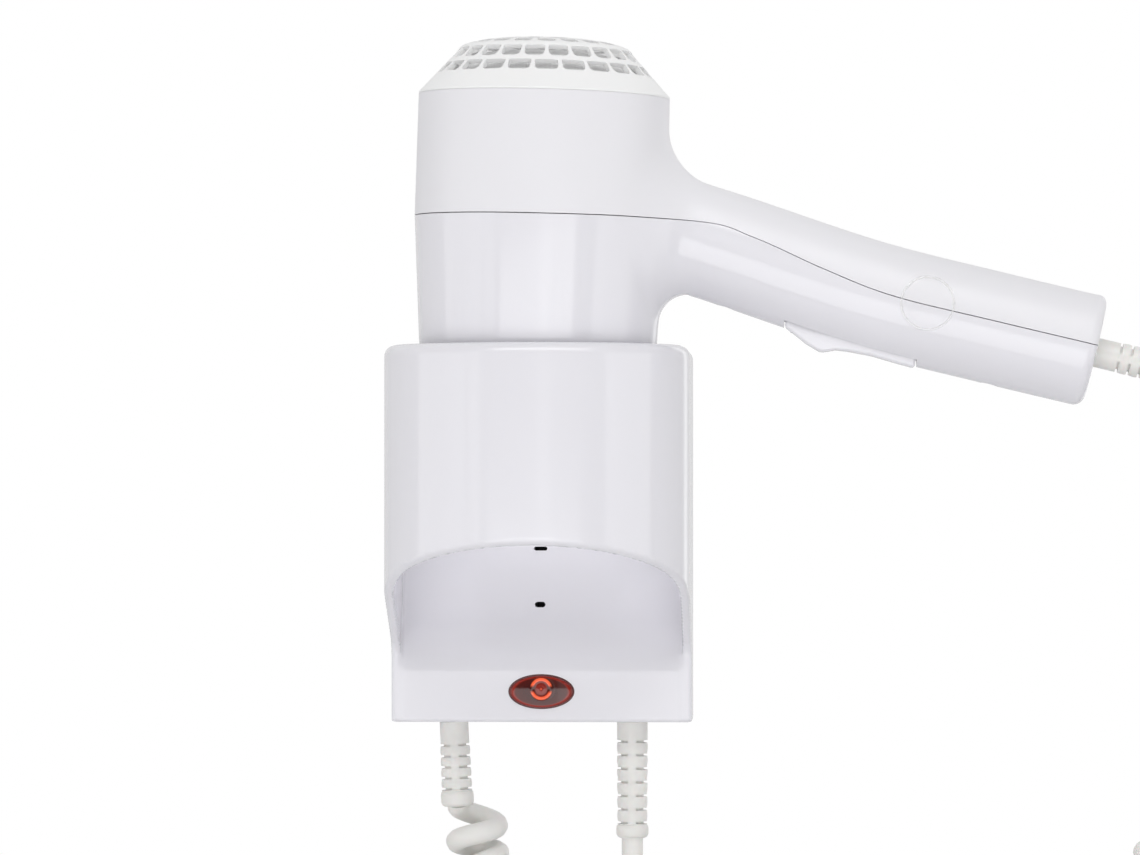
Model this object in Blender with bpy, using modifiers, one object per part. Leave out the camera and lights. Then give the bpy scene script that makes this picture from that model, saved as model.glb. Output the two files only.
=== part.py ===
"""Wall-mounted hair dryer and its cup holder, as an assembly of separate solids.

Metres, +Z up. The wall is the plane y = 0 and the holder's front faces -Y. The origin is on
the wall, at the middle of the holder's height. The handset is modelled along its own barrel
axis, from the nozzle end up, and its parent empty leans it in the cup.
"""

import math

import bmesh
import bpy
from mathutils import Matrix, Vector

# ---------------------------------------------------------------- clearances
GAP = 0.0003  # between pieces that touch
RUNNING_GAP = 0.0003  # round a turning shaft or a sliding plunger
SLIP_GAP = 0.0012  # round the impeller
WELD = 0.000001

# ---------------------------------------------------------------- holder
HOLDER_HEIGHT = 0.122
HOLDER_WALL = 0.003
PANEL_WALL = 0.0025
CUP_RIM_WIDTH = 0.0085  # from the cup's mouth to the holder's side
HOLDER_EDGE_RADIUS = 0.0036
HOLDER_ARC_STEPS = 28
CUP_AXIS_DEPTH = 0.058  # of the barrel's axis in front of the wall
CUP_PLAY = 0.0023  # round the barrel at the cup's mouth
CUP_DEPTH = 0.0542  # from the holder's top down to the seat
SEAT_THICKNESS = 0.0025
SEAT_WIDTH = 0.005  # of the ledge that the nozzle stands on
LINER_WALL = 0.002
LINER_FOOT_PLAY = 0.003
BACK_RIM_GAP = 0.0004  # between the holder's back rim and the wall

ARCH_FRONT_DROP = 0.0103  # of the arch's crown below the seat
ARCH_SIDE_DROP = 0.0268  # of the arch's feet below the seat
PANEL_DEPTH = 0.027
PANEL_HEIGHT = 0.023
SCOOP_DEPTH = 0.014
SCOOP_DROP = 0.0118  # of the scoop's vertical end below the seat
SCOOP_STEPS = 8

SLOT_X = 0.0014
UPPER_SLOT = (0.0044, 0.0013, 0.0003)  # length, height, how far below the scoop's vertical end
LOWER_SLOT = (0.0035, 0.0018, 0.0182)
LENS_RISE = 0.007  # of the lens's centre above the holder's floor
LENS_HALF_LENGTH = 0.0105
LENS_HALF_HEIGHT = 0.0054
LENS_STAND_OUT = 0.0012
LENS_LIP = 0.0012
LAMP_RADIUS = 0.0028
LAMP_LENGTH = 0.012

PLATE_THICKNESS = 0.0025
KEYHOLE_SPACING = 0.060
KEYHOLE_DROP = 0.031  # below the holder's top
KEYHOLE_HEAD_RADIUS = 0.0048
KEYHOLE_NECK_RADIUS = 0.0024
KEYHOLE_RISE = 0.008

GLAND_X = 0.0293
GLAND_DEPTH = 0.014
GLAND_NECK_RADIUS = 0.0042
GLAND_FLANGE_RADIUS = 0.0062
GLAND_FLANGE_THICKNESS = 0.002
CURLY_GLAND = (0.028, 0.0047, 0.0054)  # length, radius at the top, radius at the end
MAINS_GLAND = (0.037, 0.0050, 0.0048)
HANDLE_GLAND = (0.028, 0.0047, 0.0054)
CLAMP_HALF_WIDTH = 0.0105
CLAMP_SCREW_OFFSET = 0.0072
CLAMP_RISE = 0.0145  # above the holder's bottom
CLAMP_HEIGHT = 0.007
CLAMP_THICKNESS = 0.0045
CLAMP_POST_RADIUS = 0.0034
CLAMP_POST_LENGTH = 0.011
TERMINAL_SIZE = (0.027, 0.012, 0.011)
TERMINAL_CENTRE = (-0.0235, 0.028)  # x, height above the holder's bottom
TERMINAL_COUNT = 3

# ---------------------------------------------------------------- handset
TILT = math.radians(1.5)
NOZZLE_X = -0.0011
BARREL_WALL = 0.0022
BARREL_RADIUS = 0.0406  # at the seam, where it is widest
NOZZLE_TAPER = 0.0096
COLLAR_TAPER = 0.0066
MOUTH_TAPER = 0.0024  # where the barrel leaves the cup
RIM_TAPER = 0.0003
COLLAR_HEIGHT = 0.020
SEAM_HEIGHT = 0.0925
BARREL_HEIGHT = 0.1316
BARREL_STEPS = 32

HANDLE_HALF_THICKNESS = 0.0180
HANDLE_HALF_WIDTH = 0.0155
HANDLE_LINE = (  # out from the barrel's side, up from the nozzle
    (-0.0226, 0.0965),
    (-0.0006, 0.0900),
    (0.0217, 0.0835),
    (0.0653, 0.0702),
    (0.1062, 0.0609),
    (0.1377, 0.0542),
)
HANDLE_ROOT_FLARE = 1.12
HANDLE_SIDES = 16
SEAM_FALL = (  # out from the barrel's side, down from the barrel's own seam
    (0.0094, 0.0),
    (0.0279, 0.0049),
    (0.0502, 0.0143),
    (0.0725, 0.0224),
    (0.1061, 0.0298),
    (0.1594, 0.0410),
)
CASING_SCREWS = (0.30, 0.82)  # along the handle, from 0 at the barrel's axis to 1 at its end
CASING_BOSS_RADIUS = 0.0034
CASING_SCREW_RADIUS = 0.0014
CASING_SCREW_HEAD_RADIUS = 0.0026

GRILLE_CONE_SPREAD = 0.0127  # from the rim in to the cone's upper edge
GRILLE_CONE_HEIGHT = 0.0147
GRILLE_DOME_RISE = 0.0043
GRILLE_WALL = 0.0020
GRILLE_SLOTS = 22
GRILLE_SLOT_WIDTH = 0.0036
SCREEN_THICKNESS = 0.0008
SCREEN_SPACE = 0.0012

TRIGGER_HALF_WIDTH = 0.007
TRIGGER_PIVOT = (0.0774, 0.0545)  # out from the barrel's side, up from the nozzle
TRIGGER_BOSS_RADIUS = 0.003
TRIGGER_PIN_RADIUS = 0.0012
TRIGGER_PIN_LENGTH = 0.022
TRIGGER_SIDE_GAP = 0.0005
TRIGGER_SECTION = (  # from the pivot, in side view
    (-0.0390, 0.0052),
    (-0.0354, 0.0026),
    (-0.0322, 0.0001),
    (-0.0278, -0.0024),
    (-0.0264, -0.0025),
    (-0.0225, -0.0018),
    (-0.0190, -0.0021),
    (-0.0110, -0.0034),
    (-0.0020, -0.0052),
    (0.0028, -0.0059),
    (0.0032, 0.0015),
    (-0.0080, 0.0045),
    (-0.0230, 0.0070),
    (-0.0350, 0.0100),
    (-0.0382, 0.0095),
)
SWITCH_SIZE = (0.0198, 0.0064, 0.0100)
SWITCH_ARM = 0.020  # from the trigger's pivot to the plunger
PLUNGER_RADIUS = 0.0013
PLUNGER_CLEARANCE = 0.0008  # between the pressed trigger and the microswitch
PLUNGER_DEPTH = 0.003
TRIGGER_TRAVEL = math.radians(6)

OUTLET_HEIGHT = (0.002, 0.006)
OUTLET_RING_WIDTH = 0.0022
OUTLET_INNER_SHARE = 0.46  # of the guard's radius
OUTLET_BAR = 0.0016
HEATER_HEIGHT = (0.014, 0.066)
MICA_THICKNESS = 0.0006
SLEEVE_SPACE = 0.0017  # between the casing and the mica sleeve
HEATER_SPACE = 0.0020  # between the heater wire and the mica sleeve
HEATER_WIRE_RADIUS = 0.0006
HEATER_TURNS = 6
HEATER_POINTS_PER_TURN = 12

MOTOR_RADIUS = 0.0122
MOTOR_HEIGHT = (0.082, 0.110)
MOTOR_NOSE_RADIUS = 0.003
MOTOR_NOSE_LENGTH = 0.002
MOTOR_HOLDER_WALL = 0.0015
END_CAP_THICKNESS = 0.0032
BOARD_THICKNESS = 0.0014
SHAFT_RADIUS = 0.0010
SHAFT_HEIGHT = (0.105, 0.1245)
SHROUD_HEIGHT = (0.079, 0.1285)
SHROUD_WALL = 0.0015
SHROUD_SIDE_GAP = 0.0008
VANES = 5
VANE_HEIGHT = (0.085, 0.103)
VANE_THICKNESS = 0.0014
IMPELLER_HUB_RADIUS = 0.011
IMPELLER_HEIGHT = (0.1135, 0.1265)
IMPELLER_BLADES = 7
BLADE_CHORD = 0.0135
BLADE_THICKNESS = 0.0014
BLADE_PITCH = math.radians(38)

# ---------------------------------------------------------------- cords and plug
CORD_RADIUS = 0.0035
CURLY_OUTER_RADIUS = 0.0103
CURLY_MEAN_RADIUS = 0.0068  # of the coil's own centre line
CURLY_END_OFFSET = (-0.00055, 0.0, -0.0067)  # from the handle gland's end to the coil's axis
CURLY_ROUTE = (
    (-0.0225, -0.0140, -0.0893),
    (-0.0222, -0.0140, -0.1050),
    (-0.0170, -0.0150, -0.1230),
    (-0.0030, -0.0176, -0.1395),
    (0.0200, -0.0220, -0.1515),
    (0.0500, -0.0276, -0.1575),
    (0.0850, -0.0342, -0.1590),
    (0.1200, -0.0409, -0.1540),
    (0.1540, -0.0473, -0.1420),
    (0.1840, -0.0530, -0.1220),
    (0.2080, -0.0570, -0.0950),
    (0.2230, -0.0580, -0.0620),
    (0.2300, -0.0580, -0.0280),
    (0.2310, -0.0580, 0.0020),
    (0.2265, -0.0580, 0.0255),
    (0.2175, -0.0580, 0.0385),
    (0.2052, -0.0580, 0.0439),
)
LEAD_ROUTE = (
    (0.0293, -0.0140, -0.0983),
    (0.0293, -0.0140, -0.1080),
    (0.0294, -0.0122, -0.1230),
    (0.0296, -0.0086, -0.1400),
    (0.0298, -0.0066, -0.1570),
    (0.0298, -0.0062, -0.1750),
    (0.0297, -0.0062, -0.1960),
)
TAIL_ROUTE = (
    (0.0293, -0.0212, -0.2470),
    (0.0293, -0.0236, -0.2530),
    (0.0293, -0.0250, -0.2600),
    (0.0293, -0.0252, -0.2637),
)
CORD_POINT_SPACING = 0.012
CURLY_POINT_SPACING = 0.022
COIL_CENTRE = (0.0678, -0.0095, -0.235)
COIL_MEAN_RADIUS = 0.0385
COIL_HALF_BREADTH = 0.0106  # across the bundle of turns, in the coil's plane
COIL_HALF_DEPTH = 0.0072
TIE_WIDTH = 0.008
TIE_THICKNESS = 0.0012
PLUG_CENTRE = (0.0293, -0.0252)  # x, y
PLUG_TOP_Z = -0.264
PLUG_NECK_LENGTH = 0.018
PLUG_NECK_HALF_WIDTH = 0.0058
PLUG_BODY_LENGTH = 0.034
PLUG_HALF_WIDTH = 0.0175
PLUG_HALF_THICKNESS = 0.0080
PLUG_PIN_SPACING = 0.019
PLUG_PIN_RADIUS = 0.0024
PLUG_PIN_LENGTH = 0.019
PLUG_PIN_SINK = 0.006

# ---------------------------------------------------------------- derived places
HOLDER_TOP = HOLDER_HEIGHT / 2
HOLDER_BOTTOM = -HOLDER_HEIGHT / 2
SEAT_HEIGHT = HOLDER_TOP - CUP_DEPTH
ARCH_FRONT_Z = SEAT_HEIGHT - ARCH_FRONT_DROP
ARCH_SIDE_Z = SEAT_HEIGHT - ARCH_SIDE_DROP
SCOOP_TOP_Z = SEAT_HEIGHT - SCOOP_DROP
PANEL_TOP_Z = HOLDER_BOTTOM + PANEL_HEIGHT
LENS_CENTRE_Z = HOLDER_BOTTOM + HOLDER_WALL + LENS_RISE
KEYHOLE_Z = HOLDER_TOP - KEYHOLE_DROP
CLAMP_Z = HOLDER_BOTTOM + CLAMP_RISE

NOZZLE_RADIUS = BARREL_RADIUS - NOZZLE_TAPER
MOUTH_RADIUS = BARREL_RADIUS - MOUTH_TAPER
RIM_RADIUS = BARREL_RADIUS - RIM_TAPER
GRILLE_TOP_RADIUS = RIM_RADIUS - GRILLE_CONE_SPREAD
CUP_Y = -CUP_AXIS_DEPTH
CUP_MOUTH_RADIUS = MOUTH_RADIUS + CUP_PLAY
HOLDER_HALF_WIDTH = CUP_MOUTH_RADIUS + CUP_RIM_WIDTH
NOZZLE_Z = SEAT_HEIGHT + GAP + NOZZLE_RADIUS * math.sin(TILT)
MOUTH_HEIGHT = HOLDER_TOP - NOZZLE_Z
TRIM = 0.15  # past anything that a cutter has to clear

BARREL_PROFILE = (
    (0.0, NOZZLE_RADIUS),
    (COLLAR_HEIGHT, BARREL_RADIUS - COLLAR_TAPER),
    (MOUTH_HEIGHT, MOUTH_RADIUS),
    (SEAM_HEIGHT, BARREL_RADIUS),
    (BARREL_HEIGHT, RIM_RADIUS),
)
SEAM_LINE = (
    (-2 * BARREL_RADIUS, SEAM_HEIGHT),
    *((BARREL_RADIUS + out, SEAM_HEIGHT - fall) for out, fall in SEAM_FALL),
)
PIVOT_X, PIVOT_Z = BARREL_RADIUS + TRIGGER_PIVOT[0], TRIGGER_PIVOT[1]
TRIGGER_OUTLINE = tuple((PIVOT_X + x, PIVOT_Z + z) for x, z in TRIGGER_SECTION)

PARTS = None
CUTTERS = None


# ---------------------------------------------------------------- modelling helpers
def start_scene():
    """Clear the scene and make the two collections."""
    global PARTS, CUTTERS
    for found in list(bpy.data.objects):
        bpy.data.objects.remove(found, do_unlink=True)
    PARTS = bpy.data.collections.new("hair_dryer")
    CUTTERS = bpy.data.collections.new("cutters")
    for made in (PARTS, CUTTERS):
        bpy.context.scene.collection.children.link(made)


def finish(name, colour, roughness, metallic=0.0):
    """A plain Principled material."""
    made = bpy.data.materials.new(name)
    made.use_nodes = True
    shader = made.node_tree.nodes["Principled BSDF"]
    shader.inputs["Base Color"].default_value = (*colour, 1.0)
    shader.inputs["Roughness"].default_value = roughness
    shader.inputs["Metallic"].default_value = metallic
    return made


def place(made, material=None, parent=None):
    """Link an object among the parts, or among the cutters when it has no material."""
    made.parent = parent
    if material is None:
        CUTTERS.objects.link(made)
        made.hide_render = True
        made.display_type = "WIRE"
    else:
        PARTS.objects.link(made)
        made.data.materials.append(material)
    return made


def mesh_object(name, shape, material=None, parent=None, smooth=False):
    """An object from a bmesh, which is freed."""
    mesh = bpy.data.meshes.new(name)
    shape.to_mesh(mesh)
    shape.free()
    if smooth:
        mesh.shade_smooth()
        mesh.set_sharp_from_angle(angle=math.radians(35))
    return place(bpy.data.objects.new(name, mesh), material, parent)


def box(name, centre, size, material=None, parent=None, turn=None):
    """A box by its centre and its three sides."""
    matrix = Matrix.Translation(centre) @ (turn or Matrix()) @ Matrix.Diagonal((*size, 1))
    shape = bmesh.new()
    bmesh.ops.create_cube(shape, size=1.0, matrix=matrix)
    return mesh_object(name, shape, material, parent)


def rod(name, start, end, radius, material=None, parent=None, sides=16, end_radius=None):
    """A cylinder or a cone between two points."""
    start, end = Vector(start), Vector(end)
    along = end - start
    matrix = Matrix.Translation((start + end) / 2) @ along.to_track_quat("Z", "Y").to_matrix().to_4x4()
    shape = bmesh.new()
    bmesh.ops.create_cone(
        shape,
        cap_ends=True,
        segments=sides,
        radius1=radius,
        radius2=radius if end_radius is None else end_radius,
        depth=along.length,
        matrix=matrix,
    )
    return mesh_object(name, shape, material, parent, smooth=True)


def turned(name, profile, material=None, parent=None, steps=BARREL_STEPS, closed=False):
    """A profile of (radius, height) points, down its outer side, turned about Z."""
    shape = bmesh.new()
    points = [shape.verts.new((radius, 0, height)) for radius, height in profile]
    ends = points[1:] + points[:1] if closed else points[1:]
    for first, second in zip(points, ends):
        shape.edges.new((first, second))
    made = mesh_object(name, shape, material, parent)
    screw = made.modifiers.new("turn", "SCREW")
    screw.steps = screw.render_steps = steps
    screw.use_merge_vertices = True
    screw.merge_threshold = 0.00001
    return made


def solid_of(guide, name, material=None, parent=None, matrix=None):
    """The mesh that a curve makes, with its loose caps welded. The curve is removed."""
    bpy.context.view_layer.update()
    graph = bpy.context.evaluated_depsgraph_get()
    mesh = bpy.data.meshes.new_from_object(guide.evaluated_get(graph))
    shape = bmesh.new()
    shape.from_mesh(mesh)
    bmesh.ops.remove_doubles(shape, verts=shape.verts, dist=WELD)
    bmesh.ops.recalc_face_normals(shape, faces=shape.faces)
    if matrix:
        bmesh.ops.transform(shape, matrix=matrix, verts=shape.verts)
    bpy.data.objects.remove(guide, do_unlink=True)
    bpy.data.meshes.remove(mesh)
    return mesh_object(name, shape, material, parent)


def poly_spline(curve, points, radii=None, cyclic=False):
    """Add one POLY spline."""
    spline = curve.splines.new("POLY")
    spline.points.add(len(points) - 1)
    for index, point in enumerate(points):
        spline.points[index].co = (*point, 1.0) if len(point) == 3 else (*point, 0.0, 1.0)
        spline.points[index].radius = 1.0 if radii is None else radii[index]
    spline.use_cyclic_u = cyclic
    return spline


PLANES = {
    "X": Matrix(((0, 0, 1, 0), (1, 0, 0, 0), (0, 1, 0, 0), (0, 0, 0, 1))),
    "Y": Matrix(((1, 0, 0, 0), (0, 0, -1, 0), (0, 1, 0, 0), (0, 0, 0, 1))),
    "Z": Matrix(),
}


def slab(name, outline, low, high, axis, material=None, parent=None):
    """A flat outline, drawn in the two axes other than `axis`, from low to high along it."""
    curve = bpy.data.curves.new(name, "CURVE")
    curve.dimensions = "2D"
    curve.fill_mode = "BOTH"
    curve.extrude = (high - low) / 2
    poly_spline(curve, outline, cyclic=True)
    guide = bpy.data.objects.new(name + "_outline", curve)
    CUTTERS.objects.link(guide)
    middle = Vector((0, 0, 0))
    middle["XYZ".index(axis)] = (low + high) / 2
    return solid_of(guide, name, material, parent, Matrix.Translation(middle) @ PLANES[axis])


def arc(centre, radius, start, end, steps):
    """Points along a circular arc; a pair of radii makes it elliptical."""
    across, up = radius if isinstance(radius, tuple) else (radius, radius)
    angles = [start + (end - start) * step / steps for step in range(steps + 1)]
    return [(centre[0] + across * math.cos(a), centre[1] + up * math.sin(a)) for a in angles]


def oval(centre, radius, steps=28):
    """A closed circle or ellipse."""
    return arc(centre, radius, 0, math.tau, steps)[:-1]


def smooth_line(points, spacing):
    """Points about `spacing` apart on a Catmull-Rom curve through the given ones."""
    points = [Vector(point) for point in points]
    padded = [2 * points[0] - points[1], *points, 2 * points[-1] - points[-2]]
    line = []
    for before, start, end, after in zip(padded, padded[1:], padded[2:], padded[3:]):
        count = max(1, round((end - start).length / spacing))
        for step in range(count):
            t = step / count
            line.append(
                0.5 * (
                    2 * start
                    + (end - before) * t
                    + (2 * before - 5 * start + 4 * end - after) * t**2
                    + (3 * start - before - 3 * end + after) * t**3
                )
            )
    return [*line, points[-1]]


def combine(target, other, operation):
    """A Boolean modifier on the target."""
    boolean = target.modifiers.new(f"{operation.lower()}_{other.name}"[:60], "BOOLEAN")
    boolean.operation = operation
    boolean.object = other
    return target


def cut(target, *others):
    for other in others:
        combine(target, other, "DIFFERENCE")
    return target


def join(target, *others):
    for other in others:
        combine(target, other, "UNION")
    return target


def keep_inside(target, other):
    return combine(target, other, "INTERSECT")


def between(value, table):
    """Straight-line interpolation in a table of (place, value) pairs."""
    for (low, at_low), (high, at_high) in zip(table, table[1:]):
        if value <= high:
            return at_low + (at_high - at_low) * (value - low) / (high - low)
    return table[-1][1]


def barrel_radius(height):
    """The barrel's outer radius at a height above the nozzle end."""
    return between(height, BARREL_PROFILE)


# ---------------------------------------------------------------- holder
def holder_outline(inset=0.0, back=-BACK_RIM_GAP):
    """The holder's D-shaped outline from above, drawn in by `inset`."""
    radius = HOLDER_HALF_WIDTH - inset
    front = arc((0, CUP_Y), radius, math.pi, math.tau, HOLDER_ARC_STEPS)
    return [(-radius, back), *front, (radius, back)]


def scoop_line(behind=0.0):
    """The scoop's side section, from the panel's top up to its vertical end."""
    rise = SCOOP_TOP_Z - PANEL_TOP_Z
    reach = PANEL_DEPTH - SCOOP_DEPTH
    radius = (rise**2 + reach**2) / (2 * reach)
    angle = math.asin(rise / radius)
    centre = (-SCOOP_DEPTH - radius, SCOOP_TOP_Z)
    return arc(centre, radius + behind, -angle, 0, SCOOP_STEPS)


def scoop_depth(z, behind=0.0):
    """How far the scoop's surface is in front of the wall at a height."""
    line = [(height, -y) for y, height in scoop_line(behind)]
    return between(z, line)


def make_holder_shell(white):
    ceiling = HOLDER_TOP - HOLDER_WALL
    floor = HOLDER_BOTTOM + HOLDER_WALL
    ledge = SEAT_HEIGHT - SEAT_THICKNESS - GAP
    shell = slab("holder_shell", holder_outline(), HOLDER_BOTTOM, HOLDER_TOP, "Z", white)
    shape = bmesh.new()
    shape.from_mesh(shell.data)
    lip = [
        edge
        for edge in shape.edges
        if all(v.co.z > HOLDER_TOP - WELD for v in edge.verts)
        and len(edge.link_faces) == 2
        and abs(edge.calc_face_angle(0)) > 1
        and any(v.co.y < -HOLDER_EDGE_RADIUS for v in edge.verts)
    ]
    bmesh.ops.bevel(shape, geom=lip, offset=HOLDER_EDGE_RADIUS, segments=3, profile=0.5, affect="EDGES")
    shape.to_mesh(shell.data)
    shape.free()

    slope = (ARCH_FRONT_Z - ARCH_SIDE_Z) / HOLDER_HALF_WIDTH
    arch = [
        (-TRIM, ARCH_SIDE_Z + slope * (TRIM + CUP_Y)),
        (CUP_Y, ARCH_SIDE_Z),
        (-PANEL_DEPTH, PANEL_TOP_Z),
        (-PANEL_DEPTH, -TRIM),
        (-TRIM, -TRIM),
    ]
    inner = holder_outline(HOLDER_WALL, back=TRIM)
    recess = slab("recess_cutter", inner, -TRIM, ceiling, "Z")
    front = [(-TRIM, TRIM), (-TRIM, PANEL_TOP_Z - 0.001), *scoop_line(), (-SCOOP_DEPTH, TRIM)]
    keep_inside(recess, slab("recess_side", front, -TRIM, TRIM, "X"))
    hollow = [
        (0.005, floor),
        (-PANEL_DEPTH + PANEL_WALL, floor),
        *scoop_line(PANEL_WALL),
        (-SCOOP_DEPTH + PANEL_WALL, ledge),
        (CUP_Y, ledge),
        (CUP_Y, ceiling - 0.00001),
        (0.005, ceiling - 0.00001),
    ]
    side = HOLDER_HALF_WIDTH - HOLDER_WALL
    mouth = rod("mouth_cutter", (0, CUP_Y, ledge), (0, CUP_Y, TRIM), CUP_MOUTH_RADIUS, sides=48)
    cut(
        shell,
        slab("arch_cutter", arch, -TRIM, TRIM, "X"),
        recess,
        slab("hollow_cutter", hollow, -side, side, "X"),
        mouth,
    )
    for label, (length, height, drop) in (("upper", UPPER_SLOT), ("lower", LOWER_SLOT)):
        z = SCOOP_TOP_Z - drop
        half = (length - height) / 2
        ends = [
            *arc((SLOT_X + half, z), height / 2, -math.pi / 2, math.pi / 2, 4),
            *arc((SLOT_X - half, z), height / 2, math.pi / 2, 1.5 * math.pi, 4),
        ]
        cut(shell, slab(f"{label}_slot_cutter", ends, -0.035, -0.008, "Y"))
    lens = (LENS_HALF_LENGTH + GAP, LENS_HALF_HEIGHT + GAP)
    cut(shell, slab("lens_cutter", oval((SLOT_X, LENS_CENTRE_Z), lens), -TRIM, -PANEL_DEPTH / 2, "Y"))
    for sign in (-1, 1):
        place_at = (sign * GLAND_X, -GLAND_DEPTH)
        cut(
            shell,
            rod(
                f"gland_hole_{sign}",
                (*place_at, HOLDER_BOTTOM - HOLDER_WALL),
                (*place_at, floor + HOLDER_WALL),
                GLAND_NECK_RADIUS + GAP,
            ),
        )
    return shell


def make_cup_liner(white):
    """The tube that the barrel stands in, on a D-shaped floor with the seat and the air hole."""
    top = HOLDER_TOP - HOLDER_WALL - GAP
    foot = SEAT_HEIGHT - SEAT_THICKNESS / 2
    foot_radius = NOZZLE_RADIUS + LINER_FOOT_PLAY
    profile = [
        (CUP_MOUTH_RADIUS + LINER_WALL, top),
        (foot_radius + LINER_WALL, foot),
        (foot_radius, foot),
        (CUP_MOUTH_RADIUS, top),
    ]
    back = -SCOOP_DEPTH + PANEL_WALL
    liner = slab(
        "cup_liner",
        holder_outline(HOLDER_WALL + GAP, back),
        SEAT_HEIGHT - SEAT_THICKNESS,
        SEAT_HEIGHT,
        "Z",
        white,
    )
    tube = turned("liner_tube", profile, closed=True)
    tube.location = (0, CUP_Y, 0)
    hole = rod("air_hole", (0, CUP_Y, 0), (0, CUP_Y, HOLDER_TOP), NOZZLE_RADIUS - SEAT_WIDTH, sides=32)
    return cut(join(liner, tube), hole)


def make_wall_plate(grey, steel):
    """The plate on the wall, its posts for the cord clamps, and the two cover catches."""
    half_width = HOLDER_HALF_WIDTH - HOLDER_WALL - GAP
    half_height = HOLDER_TOP - HOLDER_WALL - GAP
    plate = box(
        "wall_plate",
        (0, -PLATE_THICKNESS / 2, 0),
        (2 * half_width, PLATE_THICKNESS, 2 * half_height),
        grey,
    )
    for sign in (-1, 1):
        x = sign * KEYHOLE_SPACING / 2
        neck = [
            *arc((x, KEYHOLE_Z + KEYHOLE_RISE), KEYHOLE_NECK_RADIUS, 0, math.pi, 6),
            (x - KEYHOLE_NECK_RADIUS, KEYHOLE_Z),
            (x + KEYHOLE_NECK_RADIUS, KEYHOLE_Z),
        ]
        reach = 2 * PLATE_THICKNESS
        head = rod(f"keyhole_{sign}", (x, -reach, KEYHOLE_Z), (x, reach, KEYHOLE_Z), KEYHOLE_HEAD_RADIUS)
        cut(plate, head, slab(f"keyhole_neck_{sign}", neck, -reach, reach, "Y"))
        for side in (-1, 1):
            post = clamp_screw_place(sign, side)
            base = (post[0], -PLATE_THICKNESS / 2, post[1])
            tip = (post[0], -PLATE_THICKNESS - CLAMP_POST_LENGTH, post[1])
            label = f"{sign}_{side}"
            join(plate, rod(f"post_{label}", base, tip, CLAMP_POST_RADIUS, sides=12))
            inside = (post[0], -PLATE_THICKNESS, post[1])
            past = (post[0], tip[1] - GAP, post[1])
            cut(plate, rod(f"post_hole_{label}", inside, past, CASING_SCREW_RADIUS + GAP, sides=12))
    for label, (length, _, drop) in (("upper", UPPER_SLOT), ("lower", LOWER_SLOT)):
        z = SCOOP_TOP_Z - drop
        reach = scoop_depth(min(z, SCOOP_TOP_Z), PANEL_WALL) - GAP
        foot = box(
            f"{label}_cover_catch",
            (SLOT_X, -PLATE_THICKNESS - GAP - 0.0005, z - 0.002),
            (length + 0.004, 0.001, 0.009),
            steel,
        )
        arm = [(-PLATE_THICKNESS - GAP, z - 0.0045), (-reach, z - 0.0042), (-reach, z - 0.0032)]
        arm += [(-PLATE_THICKNESS - GAP, z - 0.0032)]
        half = length / 2 + 0.001
        join(foot, slab(f"{label}_catch_arm", arm, SLOT_X - half, SLOT_X + half, "X"))
    return plate


def clamp_screw_place(sign, side):
    """x and z of one screw of a cord clamp."""
    return sign * GLAND_X + side * CLAMP_SCREW_OFFSET, CLAMP_Z


def make_cord_clamps(grey, steel):
    """A grooved bar over each cord, with two screws into the plate's posts."""
    back = -PLATE_THICKNESS - CLAMP_POST_LENGTH - GAP
    front = back - CLAMP_THICKNESS
    for sign, name in ((-1, "curly_clamp"), (1, "mains_clamp")):
        bar = box(
            name,
            (sign * GLAND_X, (back + front) / 2, CLAMP_Z),
            (2 * CLAMP_HALF_WIDTH, CLAMP_THICKNESS, CLAMP_HEIGHT),
            grey,
        )
        axis = (sign * GLAND_X, -GLAND_DEPTH + CORD_RADIUS / 2)
        low, high = CLAMP_Z - CLAMP_HEIGHT, CLAMP_Z + CLAMP_HEIGHT
        cut(bar, rod(f"{name}_groove", (*axis, low), (*axis, high), CORD_RADIUS, sides=14))
        for side in (-1, 1):
            x, z = clamp_screw_place(sign, side)
            hole = CASING_SCREW_RADIUS + GAP
            cut(bar, rod(f"{name}_hole_{side}", (x, back + GAP, z), (x, front - GAP, z), hole, sides=12))
            screw = f"clamp_screw_{1 + (sign + 1) + (side + 1) // 2}"
            make_screw(screw, (x, front - GAP, z), (0, 1, 0), CLAMP_THICKNESS + CLAMP_POST_LENGTH * 0.8, steel)


def make_screw(name, seat, along, length, steel, parent=None):
    """A pan-head screw: `seat` is under its head, and it points along `along`."""
    seat, along = Vector(seat), Vector(along).normalized()
    head = 0.0018
    screw = rod(name, seat - along * head, seat, CASING_SCREW_HEAD_RADIUS, steel, parent, sides=14)
    start = seat - along * head / 2
    shank = rod(f"{name}_shank", start, seat + along * length, CASING_SCREW_RADIUS, parent=parent, sides=10)
    notch = seat - along * head
    turn = along.to_track_quat("Z", "Y").to_matrix().to_4x4()
    slot = box(f"{name}_slot", notch, (0.0038, 0.0007, 0.0014), parent=parent, turn=turn)
    return cut(join(screw, shank), slot)


def make_gland(name, sizes, rubber, location, turn=0.0, parent=None):
    """A strain relief that hangs below its flange, on an axis pointing down."""
    length, top_radius, end_radius = sizes
    inside = HOLDER_WALL if parent is None else BARREL_WALL
    collar = 0.0045
    profile = [
        (0, inside + GAP + GLAND_FLANGE_THICKNESS),
        (GLAND_FLANGE_RADIUS, inside + GAP + GLAND_FLANGE_THICKNESS),
        (GLAND_FLANGE_RADIUS, inside + GAP),
        (GLAND_NECK_RADIUS, inside + GAP),
        (GLAND_NECK_RADIUS, -GAP),
        (top_radius, -GAP),
        ((top_radius + end_radius) / 2 - 0.0006, -length + collar + 0.001),
        (end_radius, -length + collar),
        (end_radius, -length),
        (0, -length),
    ]
    made = turned(name, profile, rubber, parent, steps=20)
    made.location = location
    made.rotation_euler = (0, turn, 0)
    return made


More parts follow.
